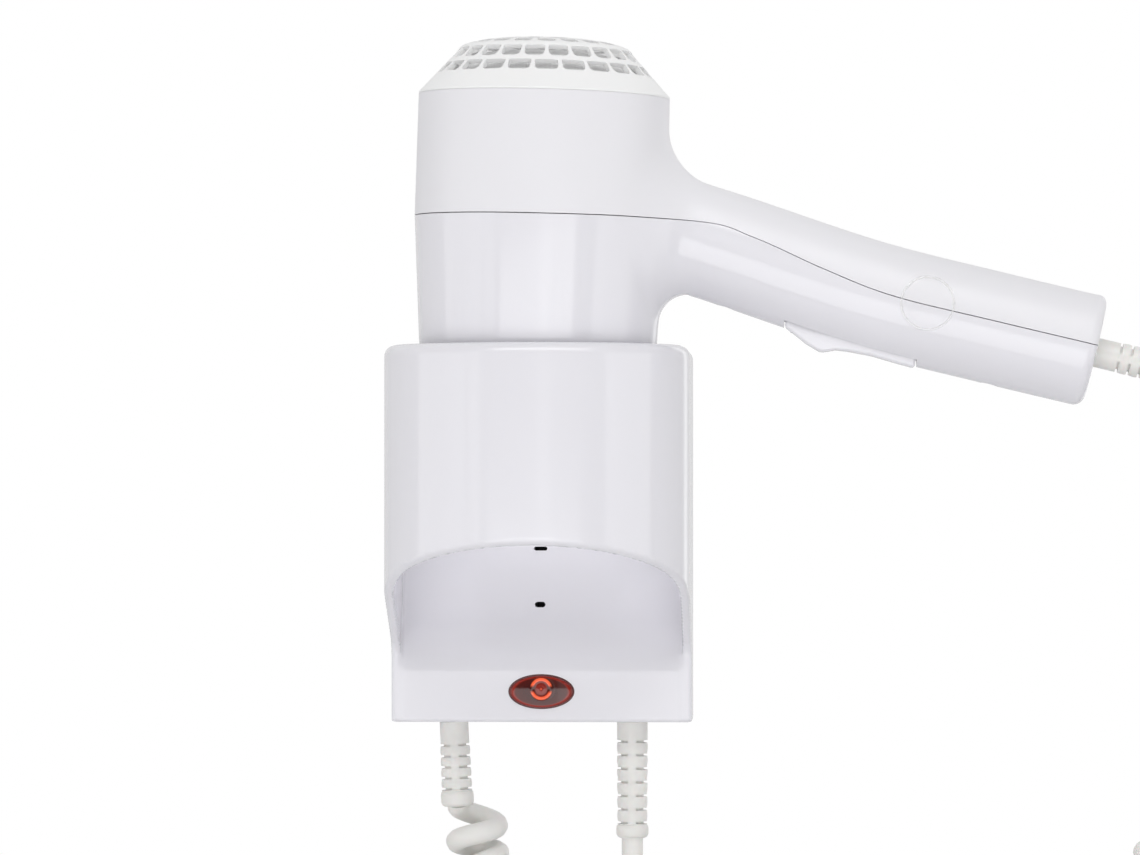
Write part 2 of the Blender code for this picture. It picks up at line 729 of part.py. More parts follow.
def make_pilot_lamp(red, grey, glass):
    centre = (SLOT_X, LENS_CENTRE_Z)
    front = -PANEL_DEPTH - LENS_STAND_OUT
    panel_back = -PANEL_DEPTH + PANEL_WALL
    sizes = (LENS_HALF_LENGTH, LENS_HALF_HEIGHT)
    lens = slab("pilot_lens", oval(centre, sizes), front, panel_back + GAP * 2, "Y", red)
    shape = bmesh.new()
    shape.from_mesh(lens.data)
    rim = [e for e in shape.edges if all(v.co.y < front + WELD for v in e.verts) and e.is_manifold]
    rim = [e for e in rim if abs(e.calc_face_angle(0)) > 1]
    bmesh.ops.bevel(shape, geom=rim, offset=LENS_STAND_OUT * 0.8, segments=2, profile=0.5, affect="EDGES")
    shape.to_mesh(lens.data)
    shape.free()
    lip = (LENS_HALF_LENGTH + LENS_LIP, LENS_HALF_HEIGHT + LENS_LIP)
    join(lens, slab("lens_lip", oval(centre, lip), panel_back + GAP, panel_back + GAP + 0.001, "Y"))

    tip = panel_back + GAP + 0.001 + GAP
    end = tip + LAMP_LENGTH
    rod("pilot_lamp", (centre[0], end, centre[1]), (centre[0], tip, centre[1]), LAMP_RADIUS, glass)
    foot = -PLATE_THICKNESS - GAP
    block = 0.009
    holder = box(
        "lamp_holder",
        (centre[0], (foot + end - 0.004) / 2, centre[1]),
        (block, foot - (end - 0.004), block),
        grey,
    )
    bore = rod(
        "lamp_bore",
        (centre[0], end + GAP, centre[1]),
        (centre[0], end - 0.006, centre[1]),
        LAMP_RADIUS + GAP,
    )
    return cut(holder, bore)


def make_terminals(grey, steel):
    width, height, depth = TERMINAL_SIZE
    x, z = TERMINAL_CENTRE[0], HOLDER_BOTTOM + TERMINAL_CENTRE[1]
    back = -PLATE_THICKNESS - GAP
    block = box("terminal_block", (x, back - depth / 2, z), (width, depth, height), grey)
    for index in range(TERMINAL_COUNT):
        way = x + width * ((index + 0.5) / TERMINAL_COUNT - 0.5)
        front = back - depth
        cut(
            block,
            box(f"wire_way_{index}", (way, back - depth * 0.35, z), (0.004, 0.0035, 2 * height)),
            rod(f"screw_well_{index}", (way, front - GAP, z), (way, back - depth * 0.6, z), 0.0022, sides=12),
        )
        rod(
            f"terminal_screw_{index + 1}",
            (way, front + 0.0008, z),
            (way, back - depth * 0.6 - GAP, z),
            0.0018,
            steel,
            sides=12,
        )


# ---------------------------------------------------------------- handset casing
def handle_points(spacing=0.014):
    """The handle's centre line, as (x, z) in the handset's own frame."""
    line = smooth_line([(BARREL_RADIUS + out, 0, z) for out, z in HANDLE_LINE], spacing)
    return [(point.x, point.z) for point in line]


def handle_place(share):
    """A point on the handle's centre line and its direction, by share of its length."""
    line = [Vector((x, 0, z)) for x, z in handle_points(0.002)]
    lengths = [0.0]
    for before, after in zip(line, line[1:]):
        lengths.append(lengths[-1] + (after - before).length)
    wanted = share * lengths[-1]
    for index in range(len(line) - 1):
        if lengths[index + 1] >= wanted or index == len(line) - 2:
            along = (line[index + 1] - line[index]).normalized()
            return line[index] + along * (wanted - lengths[index]), along
    return line[-1], along


def handle_solid(name, inset, parent, short=0.0):
    """The handle's solid shape, drawn in by `inset` all round, and shorter by `short`."""
    half_width = HANDLE_HALF_WIDTH - inset
    half_thickness = HANDLE_HALF_THICKNESS - inset
    section = bpy.data.curves.new(name + "_section", "CURVE")
    section.dimensions = "2D"
    poly_spline(section, oval((0, 0), (half_width, half_thickness), HANDLE_SIDES), cyclic=True)
    section_object = bpy.data.objects.new(name + "_section", section)
    CUTTERS.objects.link(section_object)
    section_object.hide_render = True

    points = handle_points()
    if short:
        end, before = Vector(points[-1]), Vector(points[-2])
        points[-1] = tuple(end - (end - before).normalized() * short)
    reach = HANDLE_LINE[2][0]
    flare = [
        1 + (HANDLE_ROOT_FLARE - 1) * max(0.0, min(1.0, 1 - (x - BARREL_RADIUS) / reach)) ** 2
        for x, _ in points
    ]
    curve = bpy.data.curves.new(name, "CURVE")
    curve.dimensions = "3D"
    curve.twist_mode = "Z_UP"
    curve.bevel_mode = "OBJECT"
    curve.bevel_object = section_object
    curve.use_fill_caps = True
    poly_spline(curve, [(x, 0, z) for x, z in points], flare)
    guide = bpy.data.objects.new(name + "_guide", curve)
    CUTTERS.objects.link(guide)
    made = solid_of(guide, name, parent=parent)
    bpy.data.objects.remove(section_object, do_unlink=True)
    return made


def seam_side(name, upper, parent):
    """The space above or below the casing's seam."""
    shift = GAP / 2 if upper else -GAP / 2
    line = [(x, z + shift) for x, z in SEAM_LINE]
    far = TRIM + BARREL_HEIGHT if upper else -TRIM
    outline = [*line, (line[-1][0] + TRIM, line[-1][1]), (line[-1][0] + TRIM, far), (line[0][0], far)]
    return slab(name, outline, -TRIM, TRIM, "Y", parent=parent)


def barrel_solid(name, inset, low, high, parent, material=None):
    """The barrel's turned shape between two heights, drawn in by `inset`."""
    heights = [high] + [h for h, _ in reversed(BARREL_PROFILE) if low < h < high] + [low]
    profile = [(0, high), *[(barrel_radius(h) - inset, h) for h in heights], (0, low)]
    return turned(name, profile, material, parent)


def handle_bosses(parent):
    """For each casing screw: its place, its direction up through the handle, and the seam's height."""
    places = []
    for share in CASING_SCREWS:
        centre, along = handle_place(share)
        up = Vector((-along.z, 0, along.x))
        seam = between(centre.x, SEAM_LINE) - centre.z
        places.append((centre, up, seam * up.z))
    return places


def make_casing(white, upper_white, steel, parent):
    """The two halves of the casing: the same hollow body, kept above or below its seam."""
    hollow_barrel = barrel_solid("barrel_hollow", BARREL_WALL, -GAP, BARREL_HEIGHT + GAP, parent)
    handle_outer = handle_solid("handle_outer", 0.0, parent)
    handle_inner = handle_solid("handle_inner", BARREL_WALL, parent, short=BARREL_WALL)
    end, along = handle_place(1.0)
    start = end - along * 3 * BARREL_WALL
    gland_hole = rod(
        "handle_gland_hole", start, end + along * BARREL_WALL, GLAND_NECK_RADIUS + GAP, parent=parent
    )
    halves = {}
    for name, upper, material in (("front_shell", False, white), ("rear_shell", True, upper_white)):
        half = barrel_solid(name, 0.0, 0.0, BARREL_HEIGHT, parent, material)
        join(half, handle_outer)
        cut(half, hollow_barrel, handle_inner, gland_hole)
        keep_inside(half, seam_side(f"{name}_side", upper, parent))
        halves[name] = half
    skin = HANDLE_HALF_THICKNESS - BARREL_WALL * 0.4
    for index, (centre, up, seam) in enumerate(handle_bosses(parent)):
        label = index + 1
        low_end = centre - up * skin
        high_end = centre + up * skin
        meet = centre + up * (seam - 0.0012)
        meet_above = centre + up * (seam + 0.0012)
        radius = CASING_BOSS_RADIUS
        join(halves["front_shell"], rod(f"lower_boss_{label}", low_end, meet, radius, parent=parent))
        join(halves["rear_shell"], rod(f"upper_boss_{label}", meet_above, high_end, radius, parent=parent))
        seat = centre + up * (seam - 0.0055)
        outside = centre - up * (HANDLE_HALF_THICKNESS + 0.004)
        well = rod(
            f"screw_well_{label}", outside, seat, CASING_SCREW_HEAD_RADIUS + GAP, parent=parent, sides=14
        )
        shank = CASING_SCREW_RADIUS + GAP
        hole = rod(f"screw_hole_{label}", seat - up * GAP, centre + up * (seam + 0.009), shank, parent=parent)
        cut(halves["front_shell"], well, hole)
        cut(halves["rear_shell"], hole)
        make_screw(f"casing_screw_{label}", seat - up * GAP, up, 0.012, steel, parent)
    return halves


def make_grille(white, parent):
    """The domed inlet cap, with a ring of long holes in its cone."""
    cone_top = BARREL_HEIGHT + GRILLE_CONE_HEIGHT
    base = BARREL_HEIGHT + GAP
    crown = cone_top + GRILLE_DOME_RISE
    outer = [(0, crown), *dome_points(cone_top, GRILLE_DOME_RISE, GRILLE_TOP_RADIUS), (RIM_RADIUS, base)]
    inner_top = GRILLE_TOP_RADIUS - GRILLE_WALL * 0.6
    inner_cone = cone_top - GRILLE_WALL
    inner = [
        (RIM_RADIUS - GRILLE_WALL, base),
        *reversed(dome_points(inner_cone, GRILLE_DOME_RISE, inner_top)),
        (0, crown - GRILLE_WALL),
    ]
    cap = turned("inlet_grille", outer + inner, white, parent)
    slots = bmesh.new()
    low, high = base + GRILLE_CONE_HEIGHT * 0.42, cone_top - 0.0004
    reach = RIM_RADIUS - GRILLE_TOP_RADIUS + 0.006
    for index in range(GRILLE_SLOTS):
        turn = Matrix.Rotation(math.tau * (index + 0.5) / GRILLE_SLOTS, 4, "Z")
        centre = Matrix.Translation((GRILLE_TOP_RADIUS + reach / 2 - 0.004, 0, (low + high) / 2))
        size = Matrix.Diagonal((reach, GRILLE_SLOT_WIDTH, high - low, 1))
        bmesh.ops.create_cube(slots, size=1.0, matrix=turn @ centre @ size)
    return cut(cap, mesh_object("grille_slots", slots, parent=parent))


def dome_points(foot, rise, radius):
    """A shallow dome's section, from near its crown down to its edge."""
    return [(radius * math.sin(a), foot + rise * math.cos(a)) for a in (0.45, 0.95, math.pi / 2)]


def make_lint_screen(white, parent):
    """A thin cup-shaped screen inside the grille."""
    base = BARREL_HEIGHT + 0.001
    cone_top = BARREL_HEIGHT + GRILLE_CONE_HEIGHT
    inset = GRILLE_WALL * 1.6 + SCREEN_SPACE
    foot_radius = RIM_RADIUS - inset
    top_radius = GRILLE_TOP_RADIUS - inset * 0.9
    top = cone_top - inset * 0.7
    thin = SCREEN_THICKNESS
    profile = [
        (0, top + 0.0005),
        (top_radius, top),
        (foot_radius, base),
        (foot_radius - thin, base),
        (top_radius - thin * 0.8, top - thin),
        (0, top + 0.0005 - thin),
    ]
    return turned("lint_screen", profile, white, parent, steps=32)


# ---------------------------------------------------------------- trigger and switch
def make_trigger(white, steel, front_shell, parent, pivot_frame):
    """The trigger, its opening in the lower casing, and its pin with two bearing blocks."""
    x, z = PIVOT_X, PIVOT_Z
    wide = TRIGGER_HALF_WIDTH + TRIGGER_SIDE_GAP
    front = min(px for px, _ in TRIGGER_OUTLINE) - TRIGGER_SIDE_GAP
    back = max(px for px, _ in TRIGGER_OUTLINE) + TRIGGER_SIDE_GAP
    low, high = min(pz for _, pz in TRIGGER_OUTLINE) - HANDLE_HALF_THICKNESS, TRIGGER_OUTLINE[-2][1]
    opening = box(
        "trigger_opening",
        ((front + back) / 2, 0, (low + high) / 2),
        (back - front, 2 * wide, high - low),
        parent=parent,
    )
    cut(front_shell, opening)

    half_pin = TRIGGER_PIN_LENGTH / 2
    block_width = half_pin - wide - 0.0006
    floor = z - 0.0048
    for sign in (-1, 1):
        middle = sign * (wide + 0.0006 + block_width / 2)
        centre = (x, middle, (floor + z + 0.0028) / 2)
        block = box(
            f"pin_block_{sign}", centre, (0.006, block_width, z + 0.0028 - floor), parent=parent
        )
        join(front_shell, block)
    bore = TRIGGER_PIN_RADIUS + GAP
    reach = half_pin + GAP
    pin_hole = rod("pin_hole", (x, -reach, z), (x, reach, z), bore, parent=parent, sides=12)
    cut(front_shell, pin_hole)
    rod("trigger_pin", (x, -half_pin, z), (x, half_pin, z), TRIGGER_PIN_RADIUS, steel, parent, sides=12)

    shift = Matrix.Translation((-x, 0, -z))
    trigger = slab(
        "trigger", TRIGGER_OUTLINE, -TRIGGER_HALF_WIDTH, TRIGGER_HALF_WIDTH, "Y", white, pivot_frame
    )
    trigger.data.transform(shift)
    boss = rod(
        "trigger_boss",
        (0, -TRIGGER_HALF_WIDTH, 0),
        (0, TRIGGER_HALF_WIDTH, 0),
        TRIGGER_BOSS_RADIUS,
        parent=pivot_frame,
    )
    hole = rod("trigger_bore", (0, -reach, 0), (0, reach, 0), bore, parent=pivot_frame, sides=12)
    return cut(join(trigger, boss), hole)


def make_switch(black, red, parent):
    """The microswitch above the trigger, and its plunger in a bore in its underside."""
    x = PIVOT_X - SWITCH_ARM
    top_line = sorted((px, pz) for px, pz in TRIGGER_OUTLINE if pz > PIVOT_Z + 0.001)
    rest = between(x, top_line) + GAP + 0.0004
    length, width, height = SWITCH_SIZE
    front = x - length / 2
    pressed = between(front, top_line) + (PIVOT_X - front) * math.sin(TRIGGER_TRAVEL)
    under = pressed + PLUNGER_CLEARANCE
    switch = box("microswitch", (x, 0, under + height / 2), (length, width, height), black, parent)
    travel = SWITCH_ARM * TRIGGER_TRAVEL
    deep = under + PLUNGER_DEPTH + travel + 0.001
    bore = PLUNGER_RADIUS + RUNNING_GAP
    cut(switch, rod("plunger_bore", (x, 0, under - GAP), (x, 0, deep), bore, parent=parent, sides=12))
    rod("switch_plunger", (x, 0, rest), (x, 0, under + PLUNGER_DEPTH), PLUNGER_RADIUS, red, parent, sides=12)
    return switch


def make_handle_clamp(grey, parent):
    """A notched block that grips the cord inside the handle's end."""
    centre, along = handle_place(0.93)
    turn = Matrix.Rotation(-math.atan2(along.z, along.x), 4, "Y")
    block = box("handle_clamp", centre, (0.008, 0.020, 0.012), grey, parent, turn)
    reach = along * 0.008
    hole = rod("clamp_bore", centre - reach, centre + reach, CORD_RADIUS, parent=parent, sides=14)
    return cut(block, hole)


# ---------------------------------------------------------------- motor, fan and heater
def make_motor(steel, black, green, parent):
    low, high = MOTOR_HEIGHT
    bore = SHAFT_RADIUS + RUNNING_GAP
    profile = [
        (0, high + MOTOR_NOSE_LENGTH),
        (MOTOR_NOSE_RADIUS, high + MOTOR_NOSE_LENGTH),
        (MOTOR_NOSE_RADIUS, high),
        (MOTOR_RADIUS - 0.001, high),
        (MOTOR_RADIUS, high - 0.001),
        (MOTOR_RADIUS, low),
        (0, low),
    ]
    motor = turned("motor", profile, steel, parent, steps=28)
    reach = high + MOTOR_NOSE_LENGTH + GAP
    cut(motor, rod("shaft_bore", (0, 0, SHAFT_HEIGHT[0] - 0.001), (0, 0, reach), bore, parent=parent, sides=12))
    cap_top = low - GAP
    cap_foot = cap_top - END_CAP_THICKNESS
    rod("motor_end_cap", (0, 0, cap_foot), (0, 0, cap_top), MOTOR_RADIUS - 0.0004, black, parent, sides=28)
    board_top = cap_foot - GAP
    board_foot = board_top - BOARD_THICKNESS
    board = rod(
        "rectifier_board", (0, 0, board_foot), (0, 0, board_top), MOTOR_RADIUS - 0.0012, green, parent, 24
    )
    for index in range(4):
        angle = math.tau * (index + 0.5) / 4
        centre = (0.0062 * math.cos(angle), 0.0062 * math.sin(angle), board_foot - 0.001)
        turn = Matrix.Rotation(angle, 4, "Z")
        join(board, box(f"diode_{index}", centre, (0.0024, 0.0052, 0.0028), parent=parent, turn=turn))


def shroud_outer_radius():
    return barrel_radius(SHROUD_HEIGHT[0]) - BARREL_WALL - SHROUD_SIDE_GAP


def make_shroud(white, parent):
    """The fan's tube, with the motor's holder carried on vanes."""
    outer = shroud_outer_radius()
    inner = outer - SHROUD_WALL
    low, high = SHROUD_HEIGHT
    shroud = turned("fan_shroud", [(outer, high), (outer, low), (inner, low), (inner, high)], white, parent, 36, True)
    bore = MOTOR_RADIUS + GAP
    hub = bore + MOTOR_HOLDER_WALL
    top, foot = VANE_HEIGHT[1] + 0.002, VANE_HEIGHT[0] - 0.002
    hub_ring = turned("motor_holder", [(hub, top), (hub, foot), (bore, foot), (bore, top)], None, parent, 28, True)
    join(shroud, hub_ring)
    start = hub - MOTOR_HOLDER_WALL / 2
    end = inner + SHROUD_WALL / 2
    for index in range(VANES):
        angle = math.tau * index / VANES
        turn = Matrix.Rotation(angle, 4, "Z")
        centre = turn @ Vector(((start + end) / 2, 0, sum(VANE_HEIGHT) / 2))
        size = (end - start, VANE_THICKNESS, VANE_HEIGHT[1] - VANE_HEIGHT[0])
        join(shroud, box(f"vane_{index}", centre, size, parent=parent, turn=turn))
    return shroud


def make_rotor(steel, white, parent):
    """The shaft and the impeller, which turn together."""
    rod("motor_shaft", (0, 0, SHAFT_HEIGHT[0]), (0, 0, SHAFT_HEIGHT[1]), SHAFT_RADIUS, steel, parent, sides=12)
    low, high = IMPELLER_HEIGHT
    bore = SHAFT_RADIUS + GAP
    hub = IMPELLER_HUB_RADIUS
    profile = [(bore, high), (hub * 0.6, high), (hub * 0.92, high - 0.002), (hub, high - 0.005)]
    profile += [(hub, low), (bore, low)]
    impeller = turned("impeller", profile, white, parent, 28, True)
    tip = shroud_outer_radius() - SHROUD_WALL - SLIP_GAP
    start = hub - 0.001
    for index in range(IMPELLER_BLADES):
        turn = Matrix.Rotation(math.tau * index / IMPELLER_BLADES, 4, "Z")
        centre = turn @ Vector(((start + tip) / 2, 0, (low + high) / 2))
        blade_turn = turn @ Matrix.Rotation(BLADE_PITCH, 4, "X")
        size = (tip - start, BLADE_THICKNESS, BLADE_CHORD)
        join(impeller, box(f"blade_{index}", centre, size, parent=parent, turn=blade_turn))
    return impeller


def make_heater(mica, wire, brass, white, parent):
    low, high = HEATER_HEIGHT
    middle = (low + high) / 2
    sleeve = barrel_radius(low) - BARREL_WALL - SLEEVE_SPACE
    thin = sleeve - MICA_THICKNESS
    half_width = thin - HEATER_SPACE - 2 * HEATER_WIRE_RADIUS - GAP
    size = (2 * half_width, MICA_THICKNESS, high - low)
    slot_width = MICA_THICKNESS + 2 * GAP
    for name, turn, side in (("mica_board_1", 0.0, 1), ("mica_board_2", math.pi / 2, -1)):
        rotation = Matrix.Rotation(turn, 4, "Z")
        board = box(name, (0, 0, middle), size, mica, parent, rotation)
        start, end = (middle - GAP, high + GAP) if side > 0 else (low - GAP, middle + GAP)
        notch = (slot_width, 4 * MICA_THICKNESS, end - start)
        notch_centre = (0, 0, (start + end) / 2)
        cut(board, box(f"{name}_notch", notch_centre, notch, parent=parent, turn=rotation))
    ends = (high + 0.002, low - 0.002)
    profile = [(sleeve, ends[0]), (sleeve, ends[1]), (thin, ends[1]), (thin, ends[0])]
    turned("mica_sleeve", profile, mica, parent, 32, True)

    radius = half_width + GAP + HEATER_WIRE_RADIUS
    count = HEATER_TURNS * HEATER_POINTS_PER_TURN
    wound = []
    for index in range(count + 1):
        angle = math.tau * index / HEATER_POINTS_PER_TURN
        height = low + 0.004 + (high - low - 0.008) * index / count
        wound.append((radius * math.cos(angle), radius * math.sin(angle), height))
    tube("heater_coil", wound, HEATER_WIRE_RADIUS, wire, parent, resolution=1)
    off = MICA_THICKNESS / 2 + GAP
    box("thermal_cutout", (0.013, off + 0.002, middle + 0.008), (0.012, 0.004, 0.009), brass, parent)
    rod(
        "thermal_fuse",
        (-0.012, off + 0.0016, middle - 0.008),
        (-0.012, off + 0.0016, middle + 0.002),
        0.0015,
        white,
        parent,
        sides=12,
    )


def make_outlet(black, parent):
    """The spoked guard just inside the nozzle."""
    low, high = OUTLET_HEIGHT
    outer = barrel_radius(low) - BARREL_WALL - GAP
    inner = outer - OUTLET_RING_WIDTH
    guard = turned("outlet_grille", [(outer, high), (outer, low), (inner, low), (inner, high)], black, parent, 32, True)
    half = OUTLET_BAR / 2
    ring = outer * OUTLET_INNER_SHARE
    profile = [(ring + half, high), (ring + half, low), (ring - half, low), (ring - half, high)]
    join(guard, turned("outlet_inner_ring", profile, None, parent, 24, True))
    for index in range(3):
        turn = Matrix.Rotation(math.pi * index / 3, 4, "Z")
        length = 2 * inner + OUTLET_RING_WIDTH
        size = (length, OUTLET_BAR, (high - low) * 0.9)
        join(guard, box(f"outlet_bar_{index}", (0, 0, (low + high) / 2), size, parent=parent, turn=turn))
    return guard


# ---------------------------------------------------------------- cords and plug
def tube(name, points, radius, material, parent=None, resolution=2):
    """A round tube along the points."""
    curve = bpy.data.curves.new(name, "CURVE")
    curve.dimensions = "3D"
    curve.bevel_depth = radius
    curve.bevel_resolution = resolution
    curve.use_fill_caps = True
    poly_spline(curve, points)
    return place(bpy.data.objects.new(name, curve), material, parent)


def in_row_frame(point):
    """A point of the handset's own frame in the whole object's frame."""
    turn = Matrix.Rotation(TILT, 4, "Y")
    return Vector((NOZZLE_X, CUP_Y, NOZZLE_Z)) + turn @ Vector(point)


def route_between(route, start, finish):
    """The route with its two ends moved to the given points, and what lies between moved along."""
    first, last = Vector(start) - Vector(route[0]), Vector(finish) - Vector(route[-1])
    count = len(route) - 1
    return [Vector(point) + first.lerp(last, index / count) for index, point in enumerate(route)]


def make_cords(rubber, strap):
    end, along = handle_place(1.0)
    leaves = in_row_frame(end + along * HANDLE_GLAND[0]) + Vector(CURLY_END_OFFSET)
    curly_start = (-GLAND_X + CURLY_MEAN_RADIUS, -GLAND_DEPTH, HOLDER_BOTTOM - CURLY_GLAND[0] - GAP)
    curly = route_between(CURLY_ROUTE, curly_start, leaves)
    tube("curly_cord", smooth_line(curly, CURLY_POINT_SPACING), CURLY_OUTER_RADIUS, rubber)
    lead_start = (GLAND_X, -GLAND_DEPTH, HOLDER_BOTTOM - MAINS_GLAND[0] - GAP)
    lead = route_between(LEAD_ROUTE, lead_start, LEAD_ROUTE[-1])
    tube("mains_lead", smooth_line(lead, CORD_POINT_SPACING), CORD_RADIUS, rubber)
    tube("plug_lead", smooth_line(TAIL_ROUTE, CORD_POINT_SPACING), CORD_RADIUS, rubber)
    section = arc(
        (COIL_MEAN_RADIUS, 0), (COIL_HALF_BREADTH, COIL_HALF_DEPTH), math.pi / 2, math.pi / 2 - math.tau, 12
    )[:-1]
    ring = turned("mains_coil", section, rubber, steps=28, closed=True)
    ring.rotation_euler = (math.pi / 2, 0, 0)
    ring.location = COIL_CENTRE

    across = COIL_HALF_BREADTH + GAP + TIE_THICKNESS
    deep = COIL_HALF_DEPTH + GAP + TIE_THICKNESS
    centre = Vector(COIL_CENTRE) + Vector((COIL_MEAN_RADIUS + 0.0003, 0, 0))
    tie = box("coil_tie", centre, (2 * across, 2 * deep, TIE_WIDTH), strap)
    inside = (2 * (across - TIE_THICKNESS) + 0.001, 2 * (deep - TIE_THICKNESS), 2 * TIE_WIDTH)
    cut(tie, box("tie_hole", centre, inside))


def make_plug(black, brass):
    x, y = PLUG_CENTRE
    neck = PLUG_NECK_HALF_WIDTH
    wide = PLUG_HALF_WIDTH
    top = PLUG_TOP_Z
    shoulder = top - PLUG_NECK_LENGTH
    bottom = shoulder - PLUG_BODY_LENGTH
    corner = 0.005
    outline = [
        (x - neck, top),
        (x - neck - 0.001, shoulder + 0.002),
        (x - wide, shoulder - 0.012),
        (x - wide, bottom + corner),
        *arc((x - wide + corner, bottom + corner), corner, math.pi, 1.5 * math.pi, 3),
        *arc((x + wide - corner, bottom + corner), corner, 1.5 * math.pi, math.tau, 3),
        (x + wide, shoulder - 0.012),
        (x + neck + 0.001, shoulder + 0.002),
        (x + neck, top),
    ]
    plug = slab("plug_body", outline, y - PLUG_HALF_THICKNESS, y + PLUG_HALF_THICKNESS, "Y", black)
    for sign, name in ((-1, "plug_pin_left"), (1, "plug_pin_right")):
        px = x + sign * PLUG_PIN_SPACING / 2
        inside = bottom + PLUG_PIN_SINK
        cut(plug, rod(f"{name}_hole", (px, y, inside + GAP), (px, y, bottom - GAP), PLUG_PIN_RADIUS + GAP, sides=14))
        rod(name, (px, y, inside), (px, y, bottom - PLUG_PIN_LENGTH), PLUG_PIN_RADIUS, brass, sides=14)


# ---------------------------------------------------------------- assembly
def empty(name, location, turn=0.0, parent=None):
    made = bpy.data.objects.new(name, None)
    bpy.context.scene.collection.objects.link(made)
    made.location = location
    made.rotation_euler = (0, turn, 0)
    made.parent = parent
    return made


def build():
    start_scene()
    white = finish("gloss_white", (0.74, 0.75, 0.78), 0.25)
    warm_white = finish("grille_white", (0.80, 0.80, 0.80), 0.35)
    bright_white = finish("upper_casing_white", (0.80, 0.81, 0.83), 0.25)
    cord_white = finish("cord_white", (0.76, 0.75, 0.72), 0.5)
    grey = finish("moulded_grey", (0.35, 0.36, 0.38), 0.5)
    black = finish("moulded_black", (0.03, 0.03, 0.03), 0.5)
    red = finish("pilot_red", (0.30, 0.02, 0.01), 0.15)
    lamp_glass = finish("lamp_glass", (0.9, 0.35, 0.1), 0.1)
    steel = finish("steel", (0.6, 0.6, 0.62), 0.3, 1.0)
    brass = finish("brass", (0.75, 0.6, 0.3), 0.3, 1.0)
    mica = finish("mica", (0.62, 0.52, 0.38), 0.4)
    wire = finish("heater_wire", (0.35, 0.33, 0.32), 0.4, 1.0)
    green = finish("board_green", (0.05, 0.25, 0.08), 0.5)

    make_holder_shell(white)
    make_cup_liner(white)
    make_wall_plate(grey, steel)
    make_cord_clamps(grey, steel)
    make_pilot_lamp(red, grey, lamp_glass)
    make_terminals(grey, steel)
    make_gland("curly_gland", CURLY_GLAND, cord_white, (-GLAND_X, -GLAND_DEPTH, HOLDER_BOTTOM))
    make_gland("mains_gland", MAINS_GLAND, cord_white, (GLAND_X, -GLAND_DEPTH, HOLDER_BOTTOM))
    make_cords(cord_white, grey)
    make_plug(cord_white, brass)

    handset = empty("handset_frame", (NOZZLE_X, CUP_Y, NOZZLE_Z), TILT)
    pivot = empty("trigger_frame", (PIVOT_X, 0, PIVOT_Z), 0.0, handset)
    halves = make_casing(white, bright_white, steel, handset)
    make_grille(warm_white, handset)
    make_lint_screen(warm_white, handset)
    make_trigger(white, steel, halves["front_shell"], handset, pivot)
    make_switch(black, red, handset)
    make_handle_clamp(grey, handset)
    end, along = handle_place(1.0)
    lean = -math.pi / 2 - math.atan2(along.z, along.x)
    make_gland("handle_gland", HANDLE_GLAND, cord_white, end, lean, handset)
    make_motor(steel, black, green, handset)
    make_shroud(warm_white, handset)
    make_rotor(steel, black, handset)
    make_heater(mica, wire, brass, warm_white, handset)
    make_outlet(black, handset)


build()
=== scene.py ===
"""Looks of a wall-mounted hair dryer: a handset that stands in a holder, its two cords and its plug."""

import logging
import math
from dataclasses import dataclass
from enum import Enum
from typing import Callable, Sequence

import bmesh
import bpy
import numpy as np
from mathutils import Matrix, Vector


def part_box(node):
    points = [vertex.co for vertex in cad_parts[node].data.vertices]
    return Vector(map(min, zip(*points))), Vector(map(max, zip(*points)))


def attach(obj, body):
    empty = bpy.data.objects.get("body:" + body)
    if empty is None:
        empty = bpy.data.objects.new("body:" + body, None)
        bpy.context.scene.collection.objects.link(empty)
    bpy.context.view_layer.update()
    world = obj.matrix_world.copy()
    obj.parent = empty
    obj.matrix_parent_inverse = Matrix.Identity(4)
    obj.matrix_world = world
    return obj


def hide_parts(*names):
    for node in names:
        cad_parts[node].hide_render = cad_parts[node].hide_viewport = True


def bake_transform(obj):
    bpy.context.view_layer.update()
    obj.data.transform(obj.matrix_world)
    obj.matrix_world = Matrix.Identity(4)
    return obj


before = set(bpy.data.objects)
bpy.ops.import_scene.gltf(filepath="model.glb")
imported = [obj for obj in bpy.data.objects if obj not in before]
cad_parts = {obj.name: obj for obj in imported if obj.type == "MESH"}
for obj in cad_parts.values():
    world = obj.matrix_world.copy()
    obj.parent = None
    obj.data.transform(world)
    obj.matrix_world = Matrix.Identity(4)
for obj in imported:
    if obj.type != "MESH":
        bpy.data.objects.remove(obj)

logging.basicConfig(level=logging.INFO, format="%(levelname)s %(message)s")
LOG = logging.getLogger("hair_dryer")
Field = Callable[[np.ndarray], np.ndarray]
Place = tuple[float, float, float]

TILT = math.radians(1.5)
NOZZLE = (-0.0011, -0.058, 0.0079115)
HANDSET = Matrix.Translation(NOZZLE) @ Matrix.Rotation(TILT, 4, "Y")
CUP_Y = -0.058
CORD_RADIUS = 0.0035
CORD_SIDES = 16
HOLDER_BOTTOM = -0.0623
GLAND_X = 0.0293
GLAND_Y = -0.014


class Body(Enum):
    """The moving bodies that a piece can ride on."""

    HOLDER = "holder"
    HANDSET = "handset"
    TRIGGER = "trigger"


class Slot(Enum):
    """The record's material slots."""

    GLOSS = "gloss_white"
    UPPER = "upper_casing_white"
    GRILLE = "grille_white"
    CORD = "cord_white"
    GREY = "moulded_grey"
    BLACK = "moulded_black"
    RED = "pilot_red"
    GLASS = "lamp_glass"
    STEEL = "steel"
    BRASS = "brass"
    MICA = "mica"
    WIRE = "heater_wire"
    BOARD = "board_green"


class Repeat(Enum):
    """What a repeated shape does to the piece that it is repeated on."""

    CUT = "cut"
    ADD = "add"


